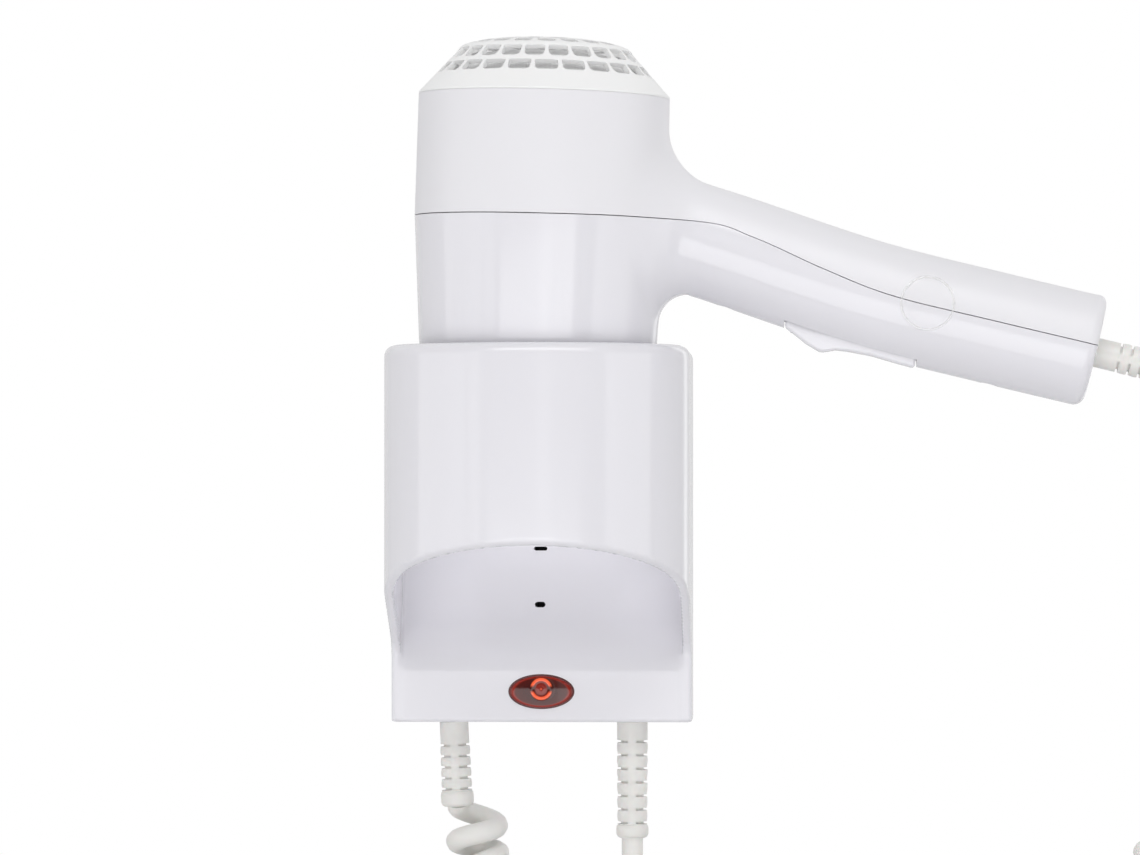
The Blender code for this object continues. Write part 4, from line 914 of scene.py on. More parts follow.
def repeat_tool(name: str, mode: Repeat, ring: bool) -> NodeTool:
    """A tree that repeats one shape round a ring or along a line, and cuts it from the piece or adds it.

    Args:
        name: The tree's name.
        mode: Whether the repeated shapes are cut out or added.
        ring: True for a ring about the Z axis, False for a line.

    Returns:
        The tool.
    """
    extra = (
        [("Radius", "NodeSocketFloat"), ("Height", "NodeSocketFloat"), ("Lean", "NodeSocketFloat")]
        if ring
        else [("Start", "NodeSocketVector"), ("Step", "NodeSocketVector")]
    )
    tool = NodeTool(
        name,
        [("Shape", "NodeSocketObject"), ("Count", "NodeSocketInt"), ("Phase", "NodeSocketFloat"), *extra],
    )
    line = tool.add("GeometryNodeMeshLine", mode="OFFSET")
    line.inputs["Offset"].default_value = (0, 0, 0)
    tool.link(tool.source["Count"], line.inputs["Count"])
    index = tool.add("GeometryNodeInputIndex").outputs[0]
    place = tool.add("GeometryNodeSetPosition")
    tool.link(line.outputs["Mesh"], place.inputs["Geometry"])
    copies = tool.add("GeometryNodeInstanceOnPoints")
    if ring:
        share = tool.maths("DIVIDE", index, tool.source["Count"])
        angle = tool.maths("ADD", tool.maths("MULTIPLY", share, math.tau), tool.source["Phase"])
        at = tool.add("ShaderNodeCombineXYZ")
        tool.link(tool.maths("MULTIPLY", tool.maths("COSINE", angle), tool.source["Radius"]), at.inputs["X"])
        tool.link(tool.maths("MULTIPLY", tool.maths("SINE", angle), tool.source["Radius"]), at.inputs["Y"])
        tool.link(tool.source["Height"], at.inputs["Z"])
        turn = tool.add("ShaderNodeCombineXYZ")
        tool.link(tool.source["Lean"], turn.inputs["Y"])
        tool.link(angle, turn.inputs["Z"])
        tool.link(at.outputs[0], place.inputs["Position"])
        tool.link(turn.outputs[0], copies.inputs["Rotation"])
    else:
        along = tool.add("ShaderNodeVectorMath", operation="SCALE")
        tool.link(tool.source["Step"], along.inputs[0])
        tool.link(index, along.inputs["Scale"])
        shift = tool.add("ShaderNodeVectorMath", operation="ADD")
        tool.link(tool.source["Start"], shift.inputs[0])
        tool.link(along.outputs[0], shift.inputs[1])
        tool.link(shift.outputs[0], place.inputs["Position"])
    shape = tool.add("GeometryNodeObjectInfo")
    tool.link(tool.source["Shape"], shape.inputs["Object"])
    tool.link(place.outputs["Geometry"], copies.inputs["Points"])
    tool.link(shape.outputs["Geometry"], copies.inputs["Instance"])
    real = tool.add("GeometryNodeRealizeInstances")
    tool.link(copies.outputs["Instances"], real.inputs["Geometry"])
    if mode is Repeat.CUT:
        joined = tool.add("GeometryNodeMeshBoolean", operation="DIFFERENCE", solver="EXACT")
        tool.link(tool.source["Geometry"], joined.inputs["Mesh 1"])
        tool.link(real.outputs["Geometry"], joined.inputs["Mesh 2"])
        tool.close(joined.outputs["Mesh"])
    else:
        joined = tool.add("GeometryNodeJoinGeometry")
        tool.link(tool.source["Geometry"], joined.inputs["Geometry"])
        tool.link(real.outputs["Geometry"], joined.inputs["Geometry"])
        tool.close(joined.outputs["Geometry"])
    return tool


def tube_tool() -> NodeTool:
    """A tree that sweeps a round section along a polyline: the rule that every cord's shape follows."""
    tool = NodeTool("cord_along_path", [("Radius", "NodeSocketFloat"), ("Sides", "NodeSocketInt")])
    line = tool.add("GeometryNodeMeshToCurve")
    tool.link(tool.source["Geometry"], line.inputs["Mesh"])
    section = tool.add("GeometryNodeCurvePrimitiveCircle")
    tool.link(tool.source["Radius"], section.inputs["Radius"])
    tool.link(tool.source["Sides"], section.inputs["Resolution"])
    sweep = tool.add("GeometryNodeCurveToMesh")
    sweep.inputs["Fill Caps"].default_value = True
    tool.link(line.outputs["Curve"], sweep.inputs["Curve"])
    tool.link(section.outputs["Curve"], sweep.inputs["Profile Curve"])
    soft = tool.add("GeometryNodeSetShadeSmooth")
    tool.link(sweep.outputs["Mesh"], soft.inputs["Geometry"])
    tool.close(soft.outputs["Geometry"])
    return tool


# ---------------------------------------------------------------- handset casing
@dataclass
class HandsetCasing:
    """The barrel and handle: one smooth body, split into a lower and an upper shell along the seam."""

    profile: tuple[tuple[float, float], ...] = (
        (0.0, 0.0310),
        (0.0200, 0.0340),
        (0.0531, 0.0382),
        (0.0925, 0.0406),
        (0.1316, 0.0403),
    )
    handle_line: tuple[tuple[float, float], ...] = (
        (0.0180, 0.0965),
        (0.0400, 0.0900),
        (0.0623, 0.0835),
        (0.1059, 0.0702),
        (0.1468, 0.0609),
        (0.1783, 0.0542),
    )
    seam_line: tuple[tuple[float, float], ...] = (
        (-0.0500, 0.0925),
        (0.0000, 0.0925),
        (0.0500, 0.0923),
        (0.0685, 0.0876),
        (0.0908, 0.0782),
        (0.1131, 0.0701),
        (0.1467, 0.0627),
        (0.2000, 0.0515),
    )
    half_thickness: float = 0.0180
    half_width: float = 0.0155
    start: float = 0.0120
    end: float = 0.1783
    wall: float = 0.0022
    gap: float = 0.0003
    fillet: float = 0.0130
    end_edge: float = 0.0035
    crook: tuple[float, float, float] = (0.0477, 0.0603, 0.0091)
    crook_span: tuple[float, float] = (0.030, 0.085)
    crook_slope: float = 0.331
    crook_stretch: float = 1.053
    crook_sink: float = 0.00012
    crook_edge: float = 0.0004
    opening_span: tuple[float, float] = (0.0788, 0.1214)
    opening_half_width: float = 0.0073
    opening_heights: tuple[float, float] = (0.03, 0.0625)
    gland_hole_radius: float = 0.0045
    well_radius: float = 0.0029
    well_depth: float = 0.03
    screw_head_drop: float = 0.0052
    step: float = 0.00115

    def __post_init__(self) -> None:
        """Prepare smooth tables of the two lines."""
        line = smooth_line([(u, 0, s) for u, s in self.handle_line], 0.002)
        self.axis_u, self.axis_s = line[:, 0], line[:, 2]
        self.slope = np.gradient(self.axis_s, self.axis_u)
        seam = smooth_line([(u, 0, s) for u, s in self.seam_line], 0.002)
        self.seam_u, self.seam_s = seam[:, 0], seam[:, 2]

    def seam(self, u: np.ndarray) -> np.ndarray:
        """Height of the seam at each distance out along the handle."""
        return np.interp(u, self.seam_u, self.seam_s)

    def barrel_radius(self, s: np.ndarray) -> np.ndarray:
        """The barrel's radius at each height."""
        heights, radii = zip(*self.profile)
        return np.interp(s, heights, radii)

    def handle(self, points: np.ndarray) -> np.ndarray:
        """The handle's own distance field."""
        u, v, s = points.T
        slope = np.interp(u, self.axis_u, self.slope)
        across = (s - np.interp(u, self.axis_u, self.axis_s)) / np.hypot(1, slope)
        a, b = self.half_thickness, self.half_width
        share = np.sqrt((across / a) ** 2 + (v / b) ** 2)
        steep = np.sqrt((across / a**2) ** 2 + (v / b**2) ** 2)
        side = share * (share - 1) / np.maximum(steep, 1e-6)
        along = ((u - self.end) + (s - self.axis_s[-1]) * self.slope[-1]) / math.hypot(
            1, self.slope[-1]
        )
        return np.maximum(round_max(side, along, self.end_edge), self.start - u)

    def field(self, points: np.ndarray) -> np.ndarray:
        """The whole outer skin's distance field, in the handset's own frame."""
        u, v, s = points.T
        barrel = np.hypot(u, v) - self.barrel_radius(s)
        whole = round_min(barrel, self.handle(points), self.fillet)
        cu, cs, cr = self.crook
        hollow = np.where(
            u < cu,
            cr - np.hypot(np.minimum(u - cu, 0), np.maximum(s - cs, 0)),
            (cs + cr - self.crook_sink - self.crook_slope * (u - cu) - s) / self.crook_stretch,
        )
        near, far = self.crook_span
        reach = np.where((u > near) & (u < far), hollow, -0.01)
        return round_max(whole, reach, self.crook_edge)

    def shell(self, name: str, upper: bool, points: np.ndarray, faces: np.ndarray) -> bpy.types.Object:
        """One half of the casing, as a closed wall.

        Args:
            name: The piece's name.
            upper: True for the half above the seam.
            points: The outer skin's points.
            faces: Its faces.

        Returns:
            The half, in the handset's own frame.
        """
        level = self.gap / 2 if upper else -self.gap / 2
        flat = np.zeros_like
        cuts = [(self.seam, self.field, level, upper)]
        cuts.append((flat, self.field, self.profile[-1][0] if upper else 0.0, not upper))
        half = trimmed(points, faces, name, cuts, self.step * 0.3)
        solid = half.modifiers.new("wall", "SOLIDIFY")
        solid.thickness = self.wall
        solid.offset = -1
        solid.use_even_offset = False
        solid.use_quality_normals = True
        return baked(half)

    def build(self) -> list[bpy.types.Object]:
        """Make and dress both halves, with the trigger's opening and the screws' wells."""
        low, high = (-0.0450, -0.0450, -0.0030), (0.1860, 0.0450, 0.1346)
        points, faces = surface_of(self.field, low, high, self.step)
        lower = self.shell("lower_casing", False, points, faces)
        upper = self.shell("upper_casing", True, points, faces)
        (near, far), half = self.opening_span, self.opening_half_width
        corners = [(near, -half), (far, -half), (far, half), (near, half)]
        opening = slab("trigger_opening", corners, *self.opening_heights, "Z")
        end = Vector((self.axis_u[-1], 0, self.axis_s[-1]))
        along = Vector((1, 0, self.slope[-1])).normalized()
        inward, outward = end - along * 0.012, end + along * 0.004
        holes = [rod("gland_hole", inward, outward, self.gland_hole_radius) for _ in range(2)]
        wells = [
            rod(f"well_{i}", at - up * self.well_depth, at, self.well_radius, 24)
            for i, (at, up) in enumerate(self.screw_places())
        ]
        cut_by(lower, opening, holes[0], *wells)
        cut_by(upper, holes[1])
        shade_by(lower, self.field)
        shade_by(upper, self.field)
        pieces = [dressed(lower, Slot.GLOSS), dressed(upper, Slot.UPPER)]
        for piece, node in zip(pieces, ("front_shell", "rear_shell")):
            placed(piece, HANDSET)
            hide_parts(node)
            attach(piece, Body.HANDSET.value)
        return pieces

    def screw_places(self) -> list[tuple[Vector, Vector]]:
        """For each casing screw, where its head rests and its direction, in the handset's own frame."""
        places = []
        back = HANDSET.inverted()
        for node in ("casing_screw_1", "casing_screw_2"):
            low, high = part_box(node)
            middle = back @ ((low + high) / 2)
            slope = float(np.interp(middle.x, self.axis_u, self.slope))
            up = Vector((-slope, 0, 1)).normalized()
            places.append((middle - up * self.screw_head_drop, up))
        return places

    def on_front(self, x: float, z: float) -> Vector:
        """The point of the front skin seen straight ahead at a place of the whole object's frame."""
        back = HANDSET.inverted()
        y = CUP_Y - 0.045
        while y < CUP_Y:
            local = back @ Vector((x, y, z))
            value = float(self.field(np.array([local]))[0])
            if value < 0.00002:
                break
            y += max(value * 0.8, 0.00001)
        return Vector((x, y, z))


# ---------------------------------------------------------------- inlet grille
@dataclass(frozen=True)
class HoleRow:
    """One ring of holes in the grille."""

    count: int
    share: float
    width: float
    height: float
    phase: float
    on_dome: bool = False


@dataclass
class InletGrille:
    """The domed inlet cap with its staggered rings of holes."""

    base: float = 0.13168
    rim: float = 0.0403
    cone_height: float = 0.0146
    top: float = 0.0276
    rise: float = 0.0043
    wall: float = 0.0019
    foot: float = 0.0006
    front: float = -math.pi / 2 + math.radians(3.4)
    rows: tuple[HoleRow, ...] = (
        HoleRow(24, 0.555, 0.00735, 0.0045, 0.0),
        HoleRow(24, 0.885, 0.00630, 0.0047, 0.5),
        HoleRow(20, 0.855, 0.00560, 0.0040, 0.0, True),
        HoleRow(14, 0.645, 0.00560, 0.0040, 0.5, True),
        HoleRow(9, 0.435, 0.00540, 0.0040, 0.0, True),
        HoleRow(4, 0.215, 0.00520, 0.0040, 0.5, True),
    )

    def hole(self, width: float, height: float) -> bpy.types.Object:
        """A cutter for one hole: straight above, with well-rounded lower corners.

        Args:
            width: Across the ring.
            height: Up the slope.

        Returns:
            The cutter, about the origin, its depth along X.
        """
        foot, head = min(0.0017, height * 0.45), 0.0006
        half, up = width / 2, height / 2
        outline = []
        for cy, cz, radius, start in (
            (half - foot, -up + foot, foot, -math.pi / 2),
            (half - head, up - head, head, 0.0),
            (-half + head, up - head, head, math.pi / 2),
            (-half + foot, -up + foot, foot, math.pi),
        ):
            for i in range(5):
                angle = start + math.pi / 2 * i / 4
                outline.append((cy + radius * math.cos(angle), cz + radius * math.sin(angle)))
        return slab("grille_hole", outline, -0.0045, 0.0045, "X")

    def screen(self, inner: list[tuple[float, float]]) -> bpy.types.Object:
        """The lint screen lying just behind the holes, following the cap's inner face.

        Args:
            inner: The cap's inner profile, from the centre outwards.

        Returns:
            The screen, riding on the handset.
        """
        face = [(max(r - 0.0012, 0.0), h - 0.0019) for r, h in inner if h > self.base + 0.0035]
        back = [(max(r - 0.0004, 0.0), h - 0.0005) for r, h in reversed(face)]
        screen = smooth(lathe("lint_cloth", face + back, 96), 40.0)
        cloth = LintMesh("lint_mesh", (0.90, 0.90, 0.90)).material()
        placed(dressed(screen, Slot.GRILLE, cloth), HANDSET)
        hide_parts("lint_screen")
        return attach(screen, Body.HANDSET.value)

    def build(self) -> bpy.types.Object:
        """Make the cap, cut its rings of holes with Geometry Nodes, and dress it."""
        dome = [
            (self.top * math.sin(a), self.base + self.cone_height + self.rise * math.cos(a))
            for a in np.linspace(math.pi / 2, 0.0, 14)
        ]
        outer = [(self.rim, self.base), (self.rim, self.base + self.foot)]
        for share in np.linspace(0.04, 0.97, 12):
            height = self.base + self.foot + (self.cone_height - self.foot) * share
            outer.append((self.rim + (self.top - self.rim) * share, height))
        outer += dome[1:]
        lean = math.atan2(self.cone_height, self.rim - self.top)
        inner = []
        for radius, height in reversed(outer[1:]):
            if height > self.base + self.cone_height:
                inner.append((max(radius - self.wall * 0.35, 0.0), height - self.wall))
            else:
                inner.append((radius - self.wall * math.sin(lean), height - self.wall * math.cos(lean) * 0.8))
        inner = [(r, max(h, self.base)) for r, h in inner if h > self.base - 0.0008]
        inner.append((inner[-1][0], self.base))
        section = outer + inner
        profile = section[:1]
        for before, here in zip(section, section[1:]):
            if math.dist(here, before) > 5e-5:
                profile.append(here)
        self.screen([p for p in inner if p[1] > self.base + 0.001])
        cap = lathe("grille_cap", profile, 144)
        tool = repeat_tool("grille_holes", Repeat.CUT, ring=True)
        cutters = []
        for row in self.rows:
            if row.on_dome:
                radius = self.top * row.share
                angle = math.asin(row.share)
                height = self.base + self.cone_height + self.rise * math.cos(angle) - self.wall / 2
                tip = math.atan2(self.rise * row.share, self.top * math.cos(angle))
                tilt = -math.pi / 2 + tip
            else:
                radius = self.rim + (self.top - self.rim) * row.share
                height = self.base + self.cone_height * row.share
                tilt = -math.atan2(self.rim - self.top, self.cone_height)
            cutters.append(self.hole(row.width, row.height))
            phase = self.front + row.phase * math.tau / row.count
            values = {"Radius": radius, "Height": height, "Lean": tilt, "Material": finish_of(Slot.GRILLE)}
            tool.use(cap, Shape=cutters[-1], Count=row.count, Phase=phase, **values)
        baked(cap)
        for cutter in cutters:
            bpy.data.objects.remove(cutter)
        smooth(cap, 32.0)
        placed(dressed(cap, Slot.GRILLE), HANDSET)
        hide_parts("inlet_grille")
        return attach(cap, Body.HANDSET.value)


# ---------------------------------------------------------------- trigger and seal
@dataclass
class Trigger:
    """The finger trigger under the handle, with grip ribs on its nose."""

    outline: tuple[tuple[float, float], ...] = (
        (0.0790, 0.0597),
        (0.0826, 0.0571),
        (0.0858, 0.0546),
        (0.0902, 0.0521),
        (0.0916, 0.0520),
        (0.0955, 0.0527),
        (0.0990, 0.0524),
        (0.1070, 0.0511),
        (0.1160, 0.0487),
        (0.1208, 0.0476),
        (0.1212, 0.0560),
        (0.1100, 0.0590),
        (0.0950, 0.0615),
        (0.0830, 0.0645),
        (0.0798, 0.0640),
    )
    half_width: float = 0.0069
    pivot: tuple[float, float] = (0.1180, 0.0545)
    bore_radius: float = 0.0015
    pin_radius: float = 0.00135
    pin_half: float = 0.0092
    ribs: int = 5
    rib_span: tuple[Place, Place] = ((0.0812, 0, 0.05835), (0.0888, 0, 0.05330))
    rib_half: float = 0.0052
    rib_radius: float = 0.0004

    def build(self) -> bpy.types.Object:
        """Make the trigger, repeat its ribs with Geometry Nodes, and dress it."""
        piece = slab("finger_trigger", self.outline, -self.half_width, self.half_width, "Y")
        bevelled(piece, 0.0009, 4, 28.0)
        at, across = Vector((self.pivot[0], 0, self.pivot[1])), Vector((0, 1, 0))
        cut_by(piece, rod("bore", at - across * 0.01, at + across * 0.01, self.bore_radius))
        start, end = (Vector(place) for place in self.rib_span)
        rib = rod("rib", across * -self.rib_half, across * self.rib_half, self.rib_radius, 12)
        bevelled(rib, 0.0003, 2, 40.0)
        tool = repeat_tool("trigger_ribs", Repeat.ADD, ring=False)
        values = {"Start": start, "Step": (end - start) / (self.ribs - 1), "Material": finish_of(Slot.GLOSS)}
        tool.use(piece, Shape=rib, Count=self.ribs, Phase=0.0, **values)
        baked(piece)
        bpy.data.objects.remove(rib)
        smooth(piece, 40.0)
        placed(dressed(piece, Slot.GLOSS), HANDSET)
        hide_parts("trigger")
        reach = across * self.pin_half
        pin = rod("hinge_pin", at - reach, at + reach, self.pin_radius, 24)
        placed(dressed(smooth(pin, 40.0), Slot.STEEL), HANDSET)
        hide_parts("trigger_pin")
        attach(pin, Body.HANDSET.value)
        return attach(piece, Body.TRIGGER.value)


@dataclass
class ClearSeal:
    """A clear round seal stuck over the seam on the handle's front."""

    casing: HandsetCasing
    centre: tuple[float, float] = (0.1249, 0.0727)
    radius: float = 0.0088
    thickness: float = 0.00012
    lift: float = 0.00008

    def build(self) -> bpy.types.Object:
        """Lay the film on the casing's skin and dress it."""
        points, rows = [], []
        rings, steps = 14, 72
        for ring in range(rings + 1):
            rows.append(len(points))
            for step in range(steps if ring else 1):
                reach = self.radius * ring / rings
                angle = math.tau * step / steps
                x = self.centre[0] + reach * math.cos(angle)
                z = self.centre[1] + reach * math.sin(angle)
                points.append(self.casing.on_front(x, z) - Vector((0, self.lift, 0)))
        faces = []
        for ring in range(rings):
            for step in range(steps):
                after = (step + 1) % steps
                if ring == 0:
                    faces.append((0, 1 + after, 1 + step))
                else:
                    a, b = rows[ring], rows[ring + 1]
                    faces.append((a + step, a + after, b + after, b + step))
        film = mesh_from("clear_seal", points, faces)
        shape = bmesh.new()
        shape.from_mesh(film.data)
        bmesh.ops.recalc_face_normals(shape, faces=shape.faces)
        if sum(face.normal.y for face in shape.faces) > 0:
            bmesh.ops.reverse_faces(shape, faces=shape.faces)
        shape.to_mesh(film.data)
        shape.free()
        wall = film.modifiers.new("film", "SOLIDIFY")
        wall.thickness = self.thickness
        wall.offset = 1
        smooth(baked(film), 60.0)
        place = (self.centre[0], 0.0, self.centre[1])
        film.data.materials.append(ClearFilm("seal_film", place, self.radius).material())
        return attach(film, Body.HANDSET.value)


# ---------------------------------------------------------------- holder
@dataclass
class HolderCasing:
    """The D-shaped holder: cup, arch, scooped recess and flat lower panel."""

    half_width: float = 0.049
    top: float = 0.0597
    back: float = -0.0004
    wall: float = 0.003
    lip: float = 0.0036
    arch_side: float = -0.020
    arch_rise: float = 0.337
    panel_y: float = -0.027
    panel_top: float = -0.038
    scoop_centre: tuple[float, float] = (-0.0624, -0.005)
    scoop_radius: float = 0.0484
    mouth: float = 0.0405
    ledge: float = 0.0040
    panel_wall: float = 0.0025
    flow: float = 0.0060
    bottom_edge: float = 0.0007
    back_edge: float = 0.0006
    front_blend: float = 0.006
    panel_edge: float = 0.0025
    arch_edge: float = 0.0013
    recess_edge: float = 0.0012
    recess_top_edge: float = 0.001
    recess_mouth_edge: float = 0.0010
    mouth_edge: float = 0.0014
    cord_hole_radius: float = 0.0045
    step: float = 0.00112
    slot_x: float = -0.0008
    lens_x: float = 0.0
    slots: tuple[tuple[float, float, float], ...] = ((-0.0058, 0.0044, 0.0013), (-0.0241, 0.0035, 0.0018))
    lens: tuple[float, float, float] = (-0.0523, 0.0108, 0.0057)

    def outline(self, points: np.ndarray) -> np.ndarray:
        """Distance from the D-shaped outline, seen from above."""
        x, y = points[:, 0], points[:, 1]
        return np.where(y < CUP_Y, np.hypot(x, y - CUP_Y), np.abs(x)) - self.half_width

    def field(self, points: np.ndarray) -> np.ndarray:
        """The holder's distance field."""
        x, y, z = points.T
        side = self.outline(points)
        body = round_max(side, z - self.top, self.lip)
        body = round_max(body, HOLDER_BOTTOM - z, self.bottom_edge)
        body = round_max(body, y - self.back, self.back_edge)
        front = (z - self.arch_side + self.arch_rise * (y - CUP_Y)) / math.hypot(1, self.arch_rise)
        fall = (self.arch_side - self.panel_top) / (self.panel_y - CUP_Y)
        flank = (z - self.arch_side + fall * (y - CUP_Y)) / math.hypot(1, fall)
        below = round_max(round_max(front, flank, self.front_blend), y - self.panel_y, self.panel_edge)
        body = round_max(body, -below, self.arch_edge)
        cy, cz = self.scoop_centre
        radial = np.hypot(y - cy, z - cz) - self.scoop_radius
        scoop = np.where(z < cz, radial, y - (cy + self.scoop_radius))
        inside = side + self.wall
        floor = round_max(self.panel_y - y, -scoop, self.flow)
        ceiling = z - (self.top - self.wall)
        recess = round_max(round_max(inside, -floor, self.recess_edge), ceiling, self.recess_top_edge)
        body = round_max(body, -recess, self.recess_mouth_edge)
        behind = np.where(z > self.ledge, CUP_Y - y, floor + self.panel_wall)
        sides = np.abs(x) - (self.half_width - self.wall)
        hollow = np.maximum(np.maximum(sides, behind), HOLDER_BOTTOM + self.wall - z)
        hollow = np.maximum(hollow, ceiling)
        body = np.maximum(body, -hollow)
        mouth = np.maximum(np.hypot(x, y - CUP_Y) - self.mouth, self.ledge - z)
        return round_max(body, -mouth, self.mouth_edge)

    def build(self) -> bpy.types.Object:
        """Make and dress the holder, with its slots, lamp hole and cord holes."""
        low, high = (-0.0515, -0.1095, -0.0635), (0.0515, 0.0020, 0.0635)
        points, faces = surface_of(self.field, low, high, self.step)
        piece = mesh_from("holder_casing", points, faces)
        cutters = []
        for z, length, height in self.slots:
            half = (length - height) / 2
            ends = []
            for sign, start in ((1, -math.pi / 2), (-1, math.pi / 2)):
                for i in range(9):
                    angle = start + math.pi * i / 8
                    x = self.slot_x + sign * half + height / 2 * math.cos(angle)
                    ends.append((x, z + height / 2 * math.sin(angle)))
            cutters.append(slab("slot", ends, -0.035, -0.008, "Y"))
        lens_z, half_length, half_height = self.lens
        oval = [
            (self.lens_x + half_length * math.cos(a), lens_z + half_height * math.sin(a))
            for a in np.linspace(0, math.tau, 72, endpoint=False)
        ]
        cutters.append(slab("lens_hole", oval, -0.06, -0.0135, "Y"))
        for sign in (-1, 1):
            foot, head = (Vector((sign * GLAND_X, GLAND_Y, z)) for z in (-0.0655, -0.055))
            cutters.append(rod("cord_hole", foot, head, self.cord_hole_radius))
        cut_by(piece, *cutters)
        shade_by(piece, self.field)
        dressed(piece, Slot.GLOSS)
        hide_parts("holder_shell")
        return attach(piece, Body.HOLDER.value)


@dataclass
class PilotLens:
    """The oval red lens over the pilot lamp, standing a little proud of the panel."""

    centre: tuple[float, float, float] = (0.0, -0.0270, -0.0523)
    half_length: float = 0.0105
    half_height: float = 0.0054
    proud: float = 0.0012
    depth: float = 0.0031
    flange: float = 0.0011
    flange_thickness: float = 0.0012
    lamp_rise: float = 0.0009
    ring_radius: float = 0.0031
    ring_height: float = 0.00022
    tip_height: float = 0.0003
    relief_breadth: float = 0.0006

    def build(self) -> bpy.types.Object:
        """Make the domed lens with a raised ring over the lamp, and dress it."""
        cx, cy, cz = self.centre
        points, rows = [], []
        rings, steps = 40, 96
        front = cy - self.proud
        for ring in range(rings + 1):
            share = ring / rings
            rows.append(len(points))
            for step in range(steps if ring else 1):
                angle = math.tau * step / steps
                dx = share * self.half_length * math.cos(angle)
                dz = share * self.half_height * math.sin(angle)
                reach = math.hypot(dx, dz - self.lamp_rise)
                ring_off = (reach - self.ring_radius) / self.relief_breadth
                tip_off = reach / self.relief_breadth
                raised = self.ring_height * math.exp(-(ring_off**2))
                relief = raised + self.tip_height * math.exp(-(tip_off**2))
                edge = 0.0010 * max(0.0, (share - 0.86) / 0.14) ** 2
                points.append((cx + dx, front + 0.0004 * share**2 + edge - relief, cz + dz))
        back = len(points)
        shoulder = cy + self.depth - self.flange_thickness
        for level, grow in ((shoulder, 0.0), (shoulder, self.flange), (cy + self.depth, self.flange)):
            for step in range(steps):
                angle = math.tau * step / steps
                points.append(
                    (
                        cx + (self.half_length + grow) * math.cos(angle),
                        level,
                        cz + (self.half_height + grow) * math.sin(angle),
                    )
                )
        points.append((cx, cy + self.depth, cz))
        faces = []
        loops = rows[1:] + [back, back + steps, back + 2 * steps]
        for step in range(steps):
            after = (step + 1) % steps
            faces.append((0, loops[0] + step, loops[0] + after))
            for a, b in zip(loops, loops[1:]):
                faces.append((a + step, b + step, b + after, a + after))
            faces.append((loops[-1] + step, len(points) - 1, loops[-1] + after))
        piece = tidy_normals(mesh_from("lamp_lens", points, faces))
        smooth(piece, 40.0)
        lamp = (cx, cy, cz + self.lamp_rise)
        finish = PilotLensPlastic("pilot_lens_plastic", self.centre, lamp, self.half_length, self.half_height)
        dressed(piece, Slot.RED, finish.material())
        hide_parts("pilot_lens")
        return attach(piece, Body.HOLDER.value)


# ---------------------------------------------------------------- glands and cords
@dataclass
class Gland:
    """A moulded strain relief: a flange inside, a plain sleeve, grooved segments and an end collar."""

    name: str
    node: str
    length: float
    top: float
    end: float
    grooves: tuple[float, ...]
    body: Body
    matrix: Matrix
    inside: float = 0.003
    collar: float = 0.0052
    flange: float = 0.0062
    flange_thickness: float = 0.0020
    neck: float = 0.0041

    def segment_cutter(self) -> bpy.types.Object:
        """The two bent slots on either side of the spines, about the origin."""
        half, deep, wide = 0.0004, 0.0037, 0.0080
        section = ((deep, -half), (wide, -half), (wide, half), (deep, half))
        shape = bmesh.new()
        for side in (0.0, math.pi):
            rows = []
            for step in range(17):
                angle = side + math.radians(148) * (step / 16 - 0.5)
                x, y = math.cos(angle), math.sin(angle)
                rows.append([shape.verts.new((x * r, y * r, z)) for r, z in section])
            for a, b in zip(rows, rows[1:]):
                for i in range(4):
                    j = (i + 1) % 4
                    shape.faces.new((a[i], a[j], b[j], b[i]))
            shape.faces.new(rows[0])
            shape.faces.new(rows[-1][::-1])
        bmesh.ops.recalc_face_normals(shape, faces=shape.faces)
        mesh = bpy.data.meshes.new("groove")
        shape.to_mesh(mesh)
        shape.free()
        return link_object("groove", mesh)

    def build(self) -> bpy.types.Object:
        """Turn the gland, cut its grooves with Geometry Nodes, dress it and set it in place."""
        low = self.inside + 0.0003
        high = low + self.flange_thickness
        profile = [(0.0, high), (self.flange, high), (self.flange, low)]
        profile += [(self.neck, low), (self.neck, -0.0002), (self.top, -0.0003)]
        first = self.grooves[0]
        for z in np.linspace(0.0012, first - 0.0004, 4):
            profile.append((self.top + (self.end - self.top) * z / self.length * 0.4, -z))
        marks = [*self.grooves, self.length - self.collar + 0.0002]
        for start, stop in zip(marks, marks[1:]):
            for share in np.linspace(0.08, 0.92, 7):
                z = start + (stop - start) * share
                radius = self.top + (self.end - self.top) * (z / self.length) - 0.0003
                profile.append((radius + 0.0004 * math.sin(math.pi * share) ** 0.6, -z))
        foot = self.length - self.collar
        bulge = max(self.end, self.top * 0.98)
        profile += [(bulge + 0.00025, -foot - 0.0006), (bulge + 0.0004, -foot - 0.0016)]
        profile += [(bulge + 0.00035, -self.length + 0.0012), (bulge - 0.0001, -self.length + 0.0004)]
        profile += [(bulge - 0.0007, -self.length), (0.0, -self.length)]
        piece = lathe(self.name, profile[::-1], 64)
        cutter = self.segment_cutter()
        tool = repeat_tool(f"{self.name}_grooves", Repeat.CUT, ring=False)
        count = len(self.grooves)
        step = (self.grooves[-1] - self.grooves[0]) / (count - 1)
        values = {"Start": Vector((0, 0, -self.grooves[0])), "Step": Vector((0, 0, -step))}
        tool.use(piece, Shape=cutter, Count=count, Phase=0.0, Material=finish_of(Slot.CORD), **values)
        baked(piece)
        bpy.data.objects.remove(cutter)
        smooth(piece, 38.0)
        placed(dressed(piece, Slot.CORD), self.matrix)
        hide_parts(self.node)
        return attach(piece, self.body.value)


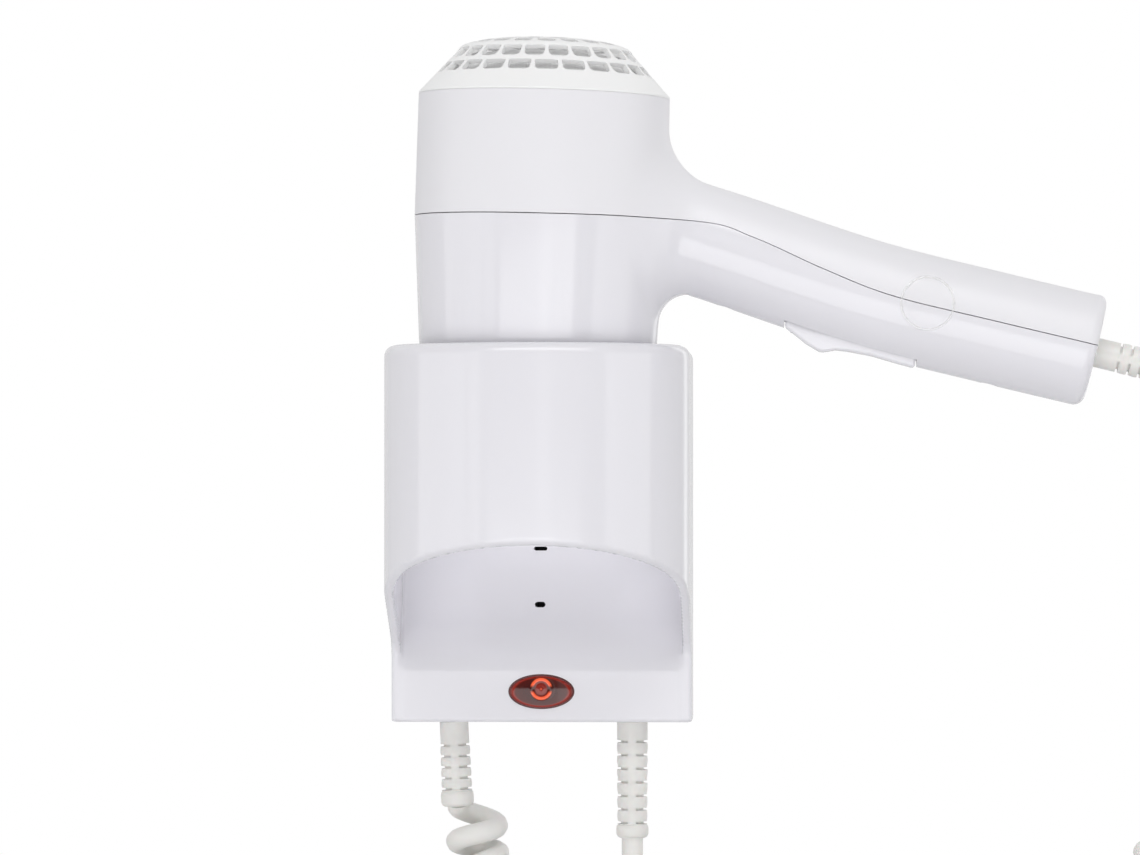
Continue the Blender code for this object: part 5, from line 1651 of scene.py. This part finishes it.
def swept_cord(name: str, path: np.ndarray) -> bpy.types.Object:
    """A round cord along a path, made with Geometry Nodes.

    Args:
        name: The piece's name.
        path: Centre points, in the whole object's frame.

    Returns:
        The cord as a plain mesh.
    """
    mesh = bpy.data.meshes.new(name)
    mesh.from_pydata([tuple(map(float, p)) for p in path], [(i, i + 1) for i in range(len(path) - 1)], [])
    piece = link_object(name, mesh)
    tube_tool().use(piece, Radius=CORD_RADIUS, Sides=CORD_SIDES, Material=finish_of(Slot.CORD))
    baked(piece)
    tidy_normals(piece)
    smooth(piece, 50.0)
    return dressed(piece, Slot.CORD)


@dataclass
class CurlyCord:
    """The curly cord: a coil whose axis hangs in a loop from the holder to the handle's end."""

    start: Vector
    finish: Vector
    route: tuple[Place, ...] = (
        (-0.0215, -0.0140, -0.0893),
        (-0.0214, -0.0140, -0.1050),
        (-0.0170, -0.0150, -0.1230),
        (-0.0030, -0.0176, -0.1395),
        (0.0200, -0.0220, -0.1515),
        (0.0500, -0.0276, -0.1575),
        (0.0850, -0.0342, -0.1590),
        (0.1200, -0.0409, -0.1540),
        (0.1540, -0.0473, -0.1420),
        (0.1840, -0.0530, -0.1220),
        (0.2080, -0.0570, -0.0950),
        (0.2230, -0.0580, -0.0620),
        (0.2300, -0.0580, -0.0280),
        (0.2310, -0.0580, 0.0020),
        (0.2265, -0.0580, 0.0255),
        (0.2175, -0.0580, 0.0385),
        (0.2052, -0.0580, 0.0439),
    )
    mean_radius: float = 0.0068
    pitch: float = 0.0101
    ease: float = 0.0022

    def path(self) -> np.ndarray:
        """The cord's centre line: its coil wound about the route, eased in and out at both ends."""
        axis = smooth_line(self.route, 0.0004)
        gone = np.concatenate([[0], np.cumsum(np.linalg.norm(np.diff(axis, axis=0), axis=1))])
        total = gone[-1]
        along = np.arange(0, total, 0.00055)
        line = np.stack([np.interp(along, gone, axis[:, i]) for i in range(3)], 1)
        tangent = np.gradient(line, along, axis=0)
        tangent /= np.linalg.norm(tangent, axis=1)[:, None]
        frames = [np.array([-1.0, 0.0, 0.0])]
        for here in tangent[1:]:
            side = frames[-1] - (frames[-1] @ here) * here
            frames.append(side / np.linalg.norm(side))
        first = np.array(frames)
        first[0] -= (first[0] @ tangent[0]) * tangent[0]
        second = np.cross(tangent, first)
        reach = np.array(self.finish) - line[-1]
        wanted = math.atan2(reach @ second[-1], reach @ first[-1])
        ease = self.ease
        wound = along - ease * (1 - np.exp(-along / ease)) - ease * (
            np.exp(-(total - along) / ease) - math.exp(-total / ease)
        )
        turns = wound[-1] / self.pitch
        whole = round(turns - wanted / math.tau) + wanted / math.tau
        angle = math.tau * whole * wound / wound[-1]
        radius = np.full_like(along, self.mean_radius)
        near = np.array(self.start) - line[0]
        radius = radius + (np.linalg.norm(near) - self.mean_radius) * np.exp(-along / 0.01)
        radius = radius + (np.linalg.norm(reach) - self.mean_radius) * np.exp(-(total - along) / 0.01)
        return line + radius[:, None] * (np.cos(angle)[:, None] * first + np.sin(angle)[:, None] * second)

    def build(self) -> bpy.types.Object:
        """Make and dress the cord, stretched between the holder and the handset."""
        path = self.path()
        piece = swept_cord("coiled_cord", path)
        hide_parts("curly_cord")
        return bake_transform(piece)


@dataclass
class MainsLead:
    """The mains lead: down from the holder, wound into a tied coil, and on to its plug."""

    finish: Vector
    lead: tuple[Place, ...] = (
        (0.0293, -0.0140, -0.0983),
        (0.0293, -0.0140, -0.1080),
        (0.0294, -0.0122, -0.1230),
        (0.0296, -0.0086, -0.1400),
        (0.0298, -0.0066, -0.1570),
        (0.0298, -0.0062, -0.1750),
        (0.0297, -0.0062, -0.1960),
    )
    centre: Place = (0.0678, -0.0062, -0.2350)
    mean_radius: float = 0.0385
    turns: tuple[Place, ...] = (
        (0.00, 0.0, 0.0),
        (0.25, 1.6, 0.0),
        (0.50, 3.5, 0.0),
        (0.75, 5.4, 0.2),
        (1.00, 7.0, 0.8),
        (1.25, 7.4, 4.4),
        (1.50, 7.2, 6.8),
        (1.75, 6.6, 8.4),
        (2.00, 5.4, 9.0),
        (2.25, 3.4, 9.4),
        (2.50, 1.0, 8.6),
        (2.75, -0.4, 8.0),
        (3.00, -1.6, 7.6),
        (3.25, -3.4, 7.2),
        (3.50, -5.6, 7.0),
        (3.75, -7.0, 7.0),
        (4.00, -7.8, 7.8),
        (4.25, -6.8, 11.0),
        (4.50, -4.8, 13.4),
        (4.75, -2.2, 14.6),
        (5.00, 0.0, 14.9),
    )
    tail: tuple[Place, ...] = (
        (0.0293, -0.0214, -0.2470),
        (0.0293, -0.0236, -0.2530),
        (0.0293, -0.0250, -0.2600),
        (0.0293, -0.0252, -0.2637),
    )

    def at_turn(self, turn: float) -> Vector:
        """The centre line's point after a number of turns of the coil."""
        whole, outs, fronts = zip(*self.turns)
        out = float(np.interp(turn, whole, outs)) / 1000
        forward = float(np.interp(turn, whole, fronts)) / 1000
        angle = math.pi + math.tau * turn
        reach = self.mean_radius + out
        x, y, z = self.centre
        return Vector((x + reach * math.cos(angle), y - forward, z + reach * math.sin(angle)))

    def path(self) -> np.ndarray:
        """The lead's centre line, from the holder's gland to the plug."""
        wound = [self.at_turn(t) for t in np.linspace(0.04, 4.96, 119)]
        return smooth_line([*self.lead, *[tuple(p) for p in wound], *self.tail], 0.004)

    def build(self, plug: Sequence[bpy.types.Object | str]) -> bpy.types.Object:
        """Make and dress the lead."""
        path = self.path()
        piece = swept_cord("mains_cord", path)
        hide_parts("mains_lead", "mains_coil", "plug_lead")
        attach(piece, Body.HOLDER.value)
        return piece

    def tie(self) -> bpy.types.Object:
        """The strap round the coil's right side, drawn tight over the turns that it holds."""
        section = []
        for turn in (0.5, 1.5, 2.5, 3.5, 4.5):
            at = self.at_turn(turn)
            for i in range(24):
                angle = math.tau * i / 24
                section.append((at.x + 0.0037 * math.cos(angle), at.y + 0.0037 * math.sin(angle)))
        shape = bmesh.new()
        for x, y in section:
            shape.verts.new((x, y, 0))
        hull = bmesh.ops.convex_hull(shape, input=shape.verts)
        verts = {item for item in hull["geom"] if isinstance(item, bmesh.types.BMVert)}
        rim = sorted(verts - set(hull["geom_interior"]), key=lambda v: v.index)
        kept = [(v.co.x, v.co.y) for v in rim]
        shape.free()
        cx, cy = np.mean(kept, axis=0)
        kept.sort(key=lambda p: math.atan2(p[1] - cy, p[0] - cx))
        points, faces = [], []
        count = len(kept)
        lower = [(0.0, -0.004), (0.0010, -0.004), (0.0013, -0.0034)]
        levels = [*lower, *[(grow, -lift) for grow, lift in reversed(lower)]]
        for grow, lift in levels:
            for x, y in kept:
                away = Vector((x - cx, y - cy)).normalized()
                points.append((x + away.x * grow, y + away.y * grow, self.centre[2] + lift))
        for row in range(len(levels)):
            following = (row + 1) % len(levels)
            for i in range(count):
                j = (i + 1) % count
                faces.append((row * count + i, row * count + j, following * count + j, following * count + i))
        band = tidy_normals(mesh_from("coil_strap", points, faces))
        smooth(band, 40.0)
        dressed(band, Slot.GREY)
        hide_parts("coil_tie")
        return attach(band, Body.HOLDER.value)


@dataclass
class MainsPlug:
    """The moulded two-pin plug, with grip ridges and its own strain relief."""

    top: Vector
    half_thickness: float = 0.0078
    pin_offset: float = 0.0095
    ridges: int = 5
    ridge_half: float = 0.0085
    ridge_radius: float = 0.0006
    neck_grooves: tuple[float, float, float] = (0.0022, 0.0145, 0.0031)

    def build(self) -> bpy.types.Object:
        """Loft the body from neck to face, repeat the ridges with Geometry Nodes, and dress it."""
        stations = (
            (0.0000, 0.0046, 0.0046, 2.0),
            (0.0004, 0.0052, 0.0052, 2.0),
            (0.0100, 0.0058, 0.0058, 2.0),
            (0.0160, 0.0068, 0.0063, 2.1),
            (0.0200, 0.0088, 0.0069, 2.3),
            (0.0240, 0.0118, 0.0074, 2.6),
            (0.0280, 0.0146, 0.0078, 2.9),
            (0.0320, 0.0164, 0.0079, 3.2),
            (0.0360, 0.0172, 0.0079, 3.4),
            (0.0500, 0.0174, 0.0079, 3.6),
            (0.0514, 0.0171, 0.0076, 3.6),
            (0.0520, 0.0164, 0.0069, 3.6),
        )
        steps = 96
        fine = []
        for (z0, *a), (z1, *b) in zip(stations, stations[1:]):
            count = 4 if z1 - z0 > 0.002 else 2
            for i in range(count):
                t = i / count
                fine.append((z0 + (z1 - z0) * t, *[p + (q - p) * t for p, q in zip(a, b)]))
        fine.append(stations[-1])
        points = []
        first, last, pitch = self.neck_grooves
        for z, wide, thick, power in fine:
            groove = 1.0
            if first < z < last:
                groove = 1.0 - 0.07 * (0.5 - 0.5 * math.cos(math.tau * (z - first) / pitch))
            for i in range(steps):
                c, s = math.cos(math.tau * i / steps), math.sin(math.tau * i / steps)
                x = groove * wide * math.copysign(abs(c) ** (2 / power), c)
                y = groove * thick * math.copysign(abs(s) ** (2 / power), s)
                points.append((self.top.x + x, self.top.y + y, self.top.z - z))
        faces = []
        rows = len(fine)
        for row in range(rows - 1):
            for i in range(steps):
                j = (i + 1) % steps
                faces.append((row * steps + i, row * steps + j, (row + 1) * steps + j, (row + 1) * steps + i))
        faces.append(list(range(steps)))
        faces.append(list(range((rows - 1) * steps, rows * steps)))
        piece = tidy_normals(mesh_from("plug_moulding", points, faces))
        holes = []
        for sign in (-1, 1):
            x = self.top.x + sign * self.pin_offset
            head, foot = (Vector((x, self.top.y, self.top.z - depth)) for depth in (0.0455, 0.06))
            holes.append(rod("pin_hole", head, foot, 0.0027))
        cut_by(piece, *holes)
        tool = repeat_tool("plug_ridges", Repeat.ADD, ring=False)
        ridges = []
        for sign in (-1, 1):
            y = self.top.y + sign * self.half_thickness
            reach = Vector((self.ridge_half, 0, 0))
            ridge = rod("ridge", -reach, reach, self.ridge_radius, 10)
            bevelled(ridge, 0.0003, 2, 40.0)
            ridges.append(ridge)
            start = Vector((self.top.x, y, self.top.z - 0.0330))
            values = {"Start": start, "Step": Vector((0, 0, -0.0030)), "Material": finish_of(Slot.CORD)}
            tool.use(piece, Shape=ridge, Count=self.ridges, Phase=0.0, **values)
        baked(piece)
        for ridge in ridges:
            bpy.data.objects.remove(ridge)
        smooth(piece, 45.0)
        dressed(piece, Slot.CORD)
        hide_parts("plug_body")
        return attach(piece, Body.HOLDER.value)


# ---------------------------------------------------------------- what CAD made
@dataclass
class CarriedNodes:
    """The nodes that keep their own shape and get a finish."""

    finishes: tuple[tuple[Slot, tuple[str, ...]], ...] = (
        (Slot.GLOSS, ("cup_liner",)),
        (Slot.GREY, ("wall_plate", "curly_clamp", "mains_clamp")),
        (Slot.GREY, ("lamp_holder", "terminal_block", "handle_clamp")),
        (Slot.BLACK, ("upper_cover_catch", "lower_cover_catch", "microswitch")),
        (Slot.BLACK, ("motor_end_cap", "impeller", "outlet_grille")),
        (Slot.STEEL, ("motor", "motor_shaft", "thermal_cutout", "casing_screw_1", "casing_screw_2")),
        (Slot.STEEL, ("terminal_screw_1", "terminal_screw_2", "terminal_screw_3")),
        (Slot.STEEL, ("clamp_screw_1", "clamp_screw_2", "clamp_screw_3", "clamp_screw_4")),
        (Slot.BRASS, ("plug_pin_left", "plug_pin_right")),
        (Slot.MICA, ("mica_board_1", "mica_board_2", "mica_sleeve")),
        (Slot.WIRE, ("heater_coil",)),
        (Slot.BOARD, ("rectifier_board",)),
        (Slot.GLASS, ("pilot_lamp", "thermal_fuse")),
        (Slot.GRILLE, ("fan_shroud",)),
        (Slot.RED, ("switch_plunger",)),
    )

    def dress(self) -> None:
        """Give every carried-over node its node material."""
        for slot, names in self.finishes:
            for name in names:
                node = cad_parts[name]
                node.data.materials.clear()
                node.data.materials.append(finish_of(slot))
        LOG.info("dressed %d carried nodes", sum(len(names) for _, names in self.finishes))


# ---------------------------------------------------------------- studio
@dataclass
class Studio:
    """Camera, plain pale floor and soft lights."""

    target: Place = (0.0106, -0.058, 0.0334)
    eye: Place = (0.087, -1.956, 0.010)
    lens: float = 187.0
    room_level: float = 0.22
    room_lean: tuple[float, float, float] = (0.02, 0.0, 0.18)
    backdrop: float = 0.52
    floor_height: float = -0.36

    def camera(self) -> bpy.types.Object:
        """Create the camera and make it the scene's own."""
        data = bpy.data.cameras.new("camera")
        data.lens = self.lens
        data.sensor_width = 36.0
        data.clip_start, data.clip_end = 0.05, 20.0
        made = bpy.data.objects.new("camera", data)
        bpy.context.scene.collection.objects.link(made)
        made.location = self.eye
        aim = Vector(self.target) - Vector(self.eye)
        made.rotation_euler = aim.to_track_quat("-Z", "Y").to_euler()
        bpy.context.scene.camera = made
        return made

    def lamp(self, name: str, at: Place, size: tuple[float, float], radiance: float) -> bpy.types.Object:
        """A soft rectangular light facing the object.

        Args:
            name: The light's name.
            at: Its place.
            size: Its width and height.
            radiance: How bright its face is, as a share of the white background.

        Returns:
            The light.
        """
        data = bpy.data.lights.new(name, "AREA")
        data.shape = "RECTANGLE"
        data.size, data.size_y = size
        data.energy = math.pi * size[0] * size[1] * radiance
        made = bpy.data.objects.new(name, data)
        bpy.context.scene.collection.objects.link(made)
        made.location = at
        made.rotation_euler = (Vector(self.target) - Vector(at)).to_track_quat("-Z", "Y").to_euler()
        made.visible_camera = False
        return made

    def surroundings(self) -> None:
        """A white room, greyer to the sides and below, which the camera sees as plain white."""
        world = bpy.data.worlds.new("pale_room")
        bpy.context.scene.world = world
        world.use_nodes = True
        tree = world.node_tree
        shade = tree.nodes["Background"]
        place = tree.nodes.new("ShaderNodeTexCoord")
        lean = tree.nodes.new("ShaderNodeVectorMath")
        lean.operation = "DOT_PRODUCT"
        lean.inputs[1].default_value = self.room_lean
        tree.links.new(place.outputs["Generated"], lean.inputs[0])
        split = tree.nodes.new("ShaderNodeSeparateXYZ")
        tree.links.new(place.outputs["Generated"], split.inputs[0])
        backdrop = tree.nodes.new("ShaderNodeMapRange")
        backdrop.interpolation_type = "SMOOTHSTEP"
        backdrop.inputs["From Min"].default_value = -0.3
        backdrop.inputs["From Max"].default_value = 0.4
        backdrop.inputs["To Max"].default_value = self.backdrop
        tree.links.new(split.outputs["Y"], backdrop.inputs["Value"])
        level = tree.nodes.new("ShaderNodeMath")
        level.operation = "ADD"
        level.inputs[1].default_value = self.room_level
        tree.links.new(lean.outputs["Value"], level.inputs[0])
        rays = tree.nodes.new("ShaderNodeLightPath")
        white = tree.nodes.new("ShaderNodeBackground")
        white.inputs["Color"].default_value = (1, 1, 1, 1)
        white.inputs["Strength"].default_value = 1.0
        choose = tree.nodes.new("ShaderNodeMixShader")
        total = tree.nodes.new("ShaderNodeMath")
        total.operation = "ADD"
        tree.links.new(level.outputs[0], total.inputs[0])
        tree.links.new(backdrop.outputs["Result"], total.inputs[1])
        tree.links.new(total.outputs[0], shade.inputs["Strength"])
        shade.inputs["Color"].default_value = (1, 1, 1, 1)
        tree.links.new(rays.outputs["Is Camera Ray"], choose.inputs["Fac"])
        tree.links.new(shade.outputs["Background"], choose.inputs[1])
        tree.links.new(white.outputs["Background"], choose.inputs[2])
        tree.links.new(choose.outputs[0], tree.nodes["World Output"].inputs["Surface"])

    def floor(self) -> bpy.types.Object:
        """A plain pale floor under the object."""
        corners = [(-0.9, -0.6), (1.1, -0.6), (1.1, 0.9), (-0.9, 0.9)]
        points = [(x, y, self.floor_height) for x, y in corners]
        made = mesh_from("studio_floor", points, [(0, 1, 2, 3)])
        pale = Shader("pale_floor", (0.76, 0.76, 0.77), 0.6)
        made.data.materials.append(pale.material)
        return made

    def light(self) -> None:
        """Hang the soft lights."""
        self.surroundings()
        self.lamp("table_bank", (0.0, -1.35, -0.37), (1.9, 0.75), 1.9)
        self.lamp("left_bank", (-1.40, -0.45, -0.15), (1.2, 1.2), 0.95)
        self.lamp("right_bank", (1.50, -0.45, -0.15), (1.2, 1.2), 0.95)
        self.lamp("overhead_bank", (0.1, -1.0, 1.0), (1.6, 0.6), 2.7)
        self.lamp("left_strip", (-1.07, -1.13, 0.1), (0.26, 1.2), 0.85)
        self.lamp("right_strip", (0.19, -1.55, 0.1), (0.26, 1.2), 0.5)
        fill = self.lamp("recess_fill", (0.0, -0.060, -0.008), (0.084, 0.012), 2.0)
        fill.rotation_euler = Vector((0, 1, -0.15)).to_track_quat("-Z", "Y").to_euler()
        fill.visible_glossy = False
        self.lamp("rim_strip", (0.8, 1.5, 0.05), (0.3, 1.6), 0.6)
        scene = bpy.context.scene
        scene.view_settings.view_transform = "Standard"
        scene.view_settings.look = "None"


def handle_gland_place(casing: HandsetCasing) -> Matrix:
    """Where the handle's gland sits: its own axis points down, and here leans along the handle."""
    end = Vector((casing.handle_line[-1][0], 0, casing.handle_line[-1][1]))
    slope = casing.slope[-1]
    lean = -math.pi / 2 - math.atan2(slope, 1.0)
    return HANDSET @ Matrix.Translation(end) @ Matrix.Rotation(lean, 4, "Y")


def main() -> None:
    """Build every sub-assembly in order."""
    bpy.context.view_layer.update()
    studio = Studio()
    studio.camera()
    casing = HandsetCasing()
    down = Matrix.Rotation(math.radians(-2.6), 4, "Y")
    curly_at = Matrix.Translation((-GLAND_X, GLAND_Y, HOLDER_BOTTOM)) @ down
    mains_at = Matrix.Translation((GLAND_X, GLAND_Y, HOLDER_BOTTOM))
    handle_at = handle_gland_place(casing)
    short = (0.028, 0.0047, 0.0050, (0.0079, 0.0116, 0.0152, 0.0188, 0.0222))
    long = (0.0382, 0.0050, 0.0048, (0.0066, 0.0106, 0.0147, 0.0187, 0.0240, 0.0287, 0.0332))
    curly = Gland("curly_relief", "curly_gland", *short, Body.HOLDER, curly_at)
    mains = Gland("mains_relief", "mains_gland", *long, Body.HOLDER, mains_at, collar=0.0045)
    grip = Gland("handle_relief", "handle_gland", *short, Body.HANDSET, handle_at, inside=0.0022)
    for gland in (curly, mains, grip):
        gland.build()
        LOG.info("built %s", gland.name)
    start = curly_at @ Vector((0, 0, -curly.length))
    finish = handle_at @ Vector((0, 0, -grip.length))
    CurlyCord(start, finish).build()
    lead = MainsLead(Vector((GLAND_X, -0.0252, -0.264)))
    plug = MainsPlug(lead.finish).build()
    strap = lead.tie()
    lead.build([plug, strap, "plug_pin_left", "plug_pin_right"])
    LOG.info("built the cords and the plug")
    for part in (HolderCasing(), PilotLens(), casing, InletGrille(), Trigger(), ClearSeal(casing)):
        part.build()
        LOG.info("built %s", type(part).__name__)
    CarriedNodes().dress()
    studio.floor()
    studio.light()


if __name__ == "__main__":
    main()
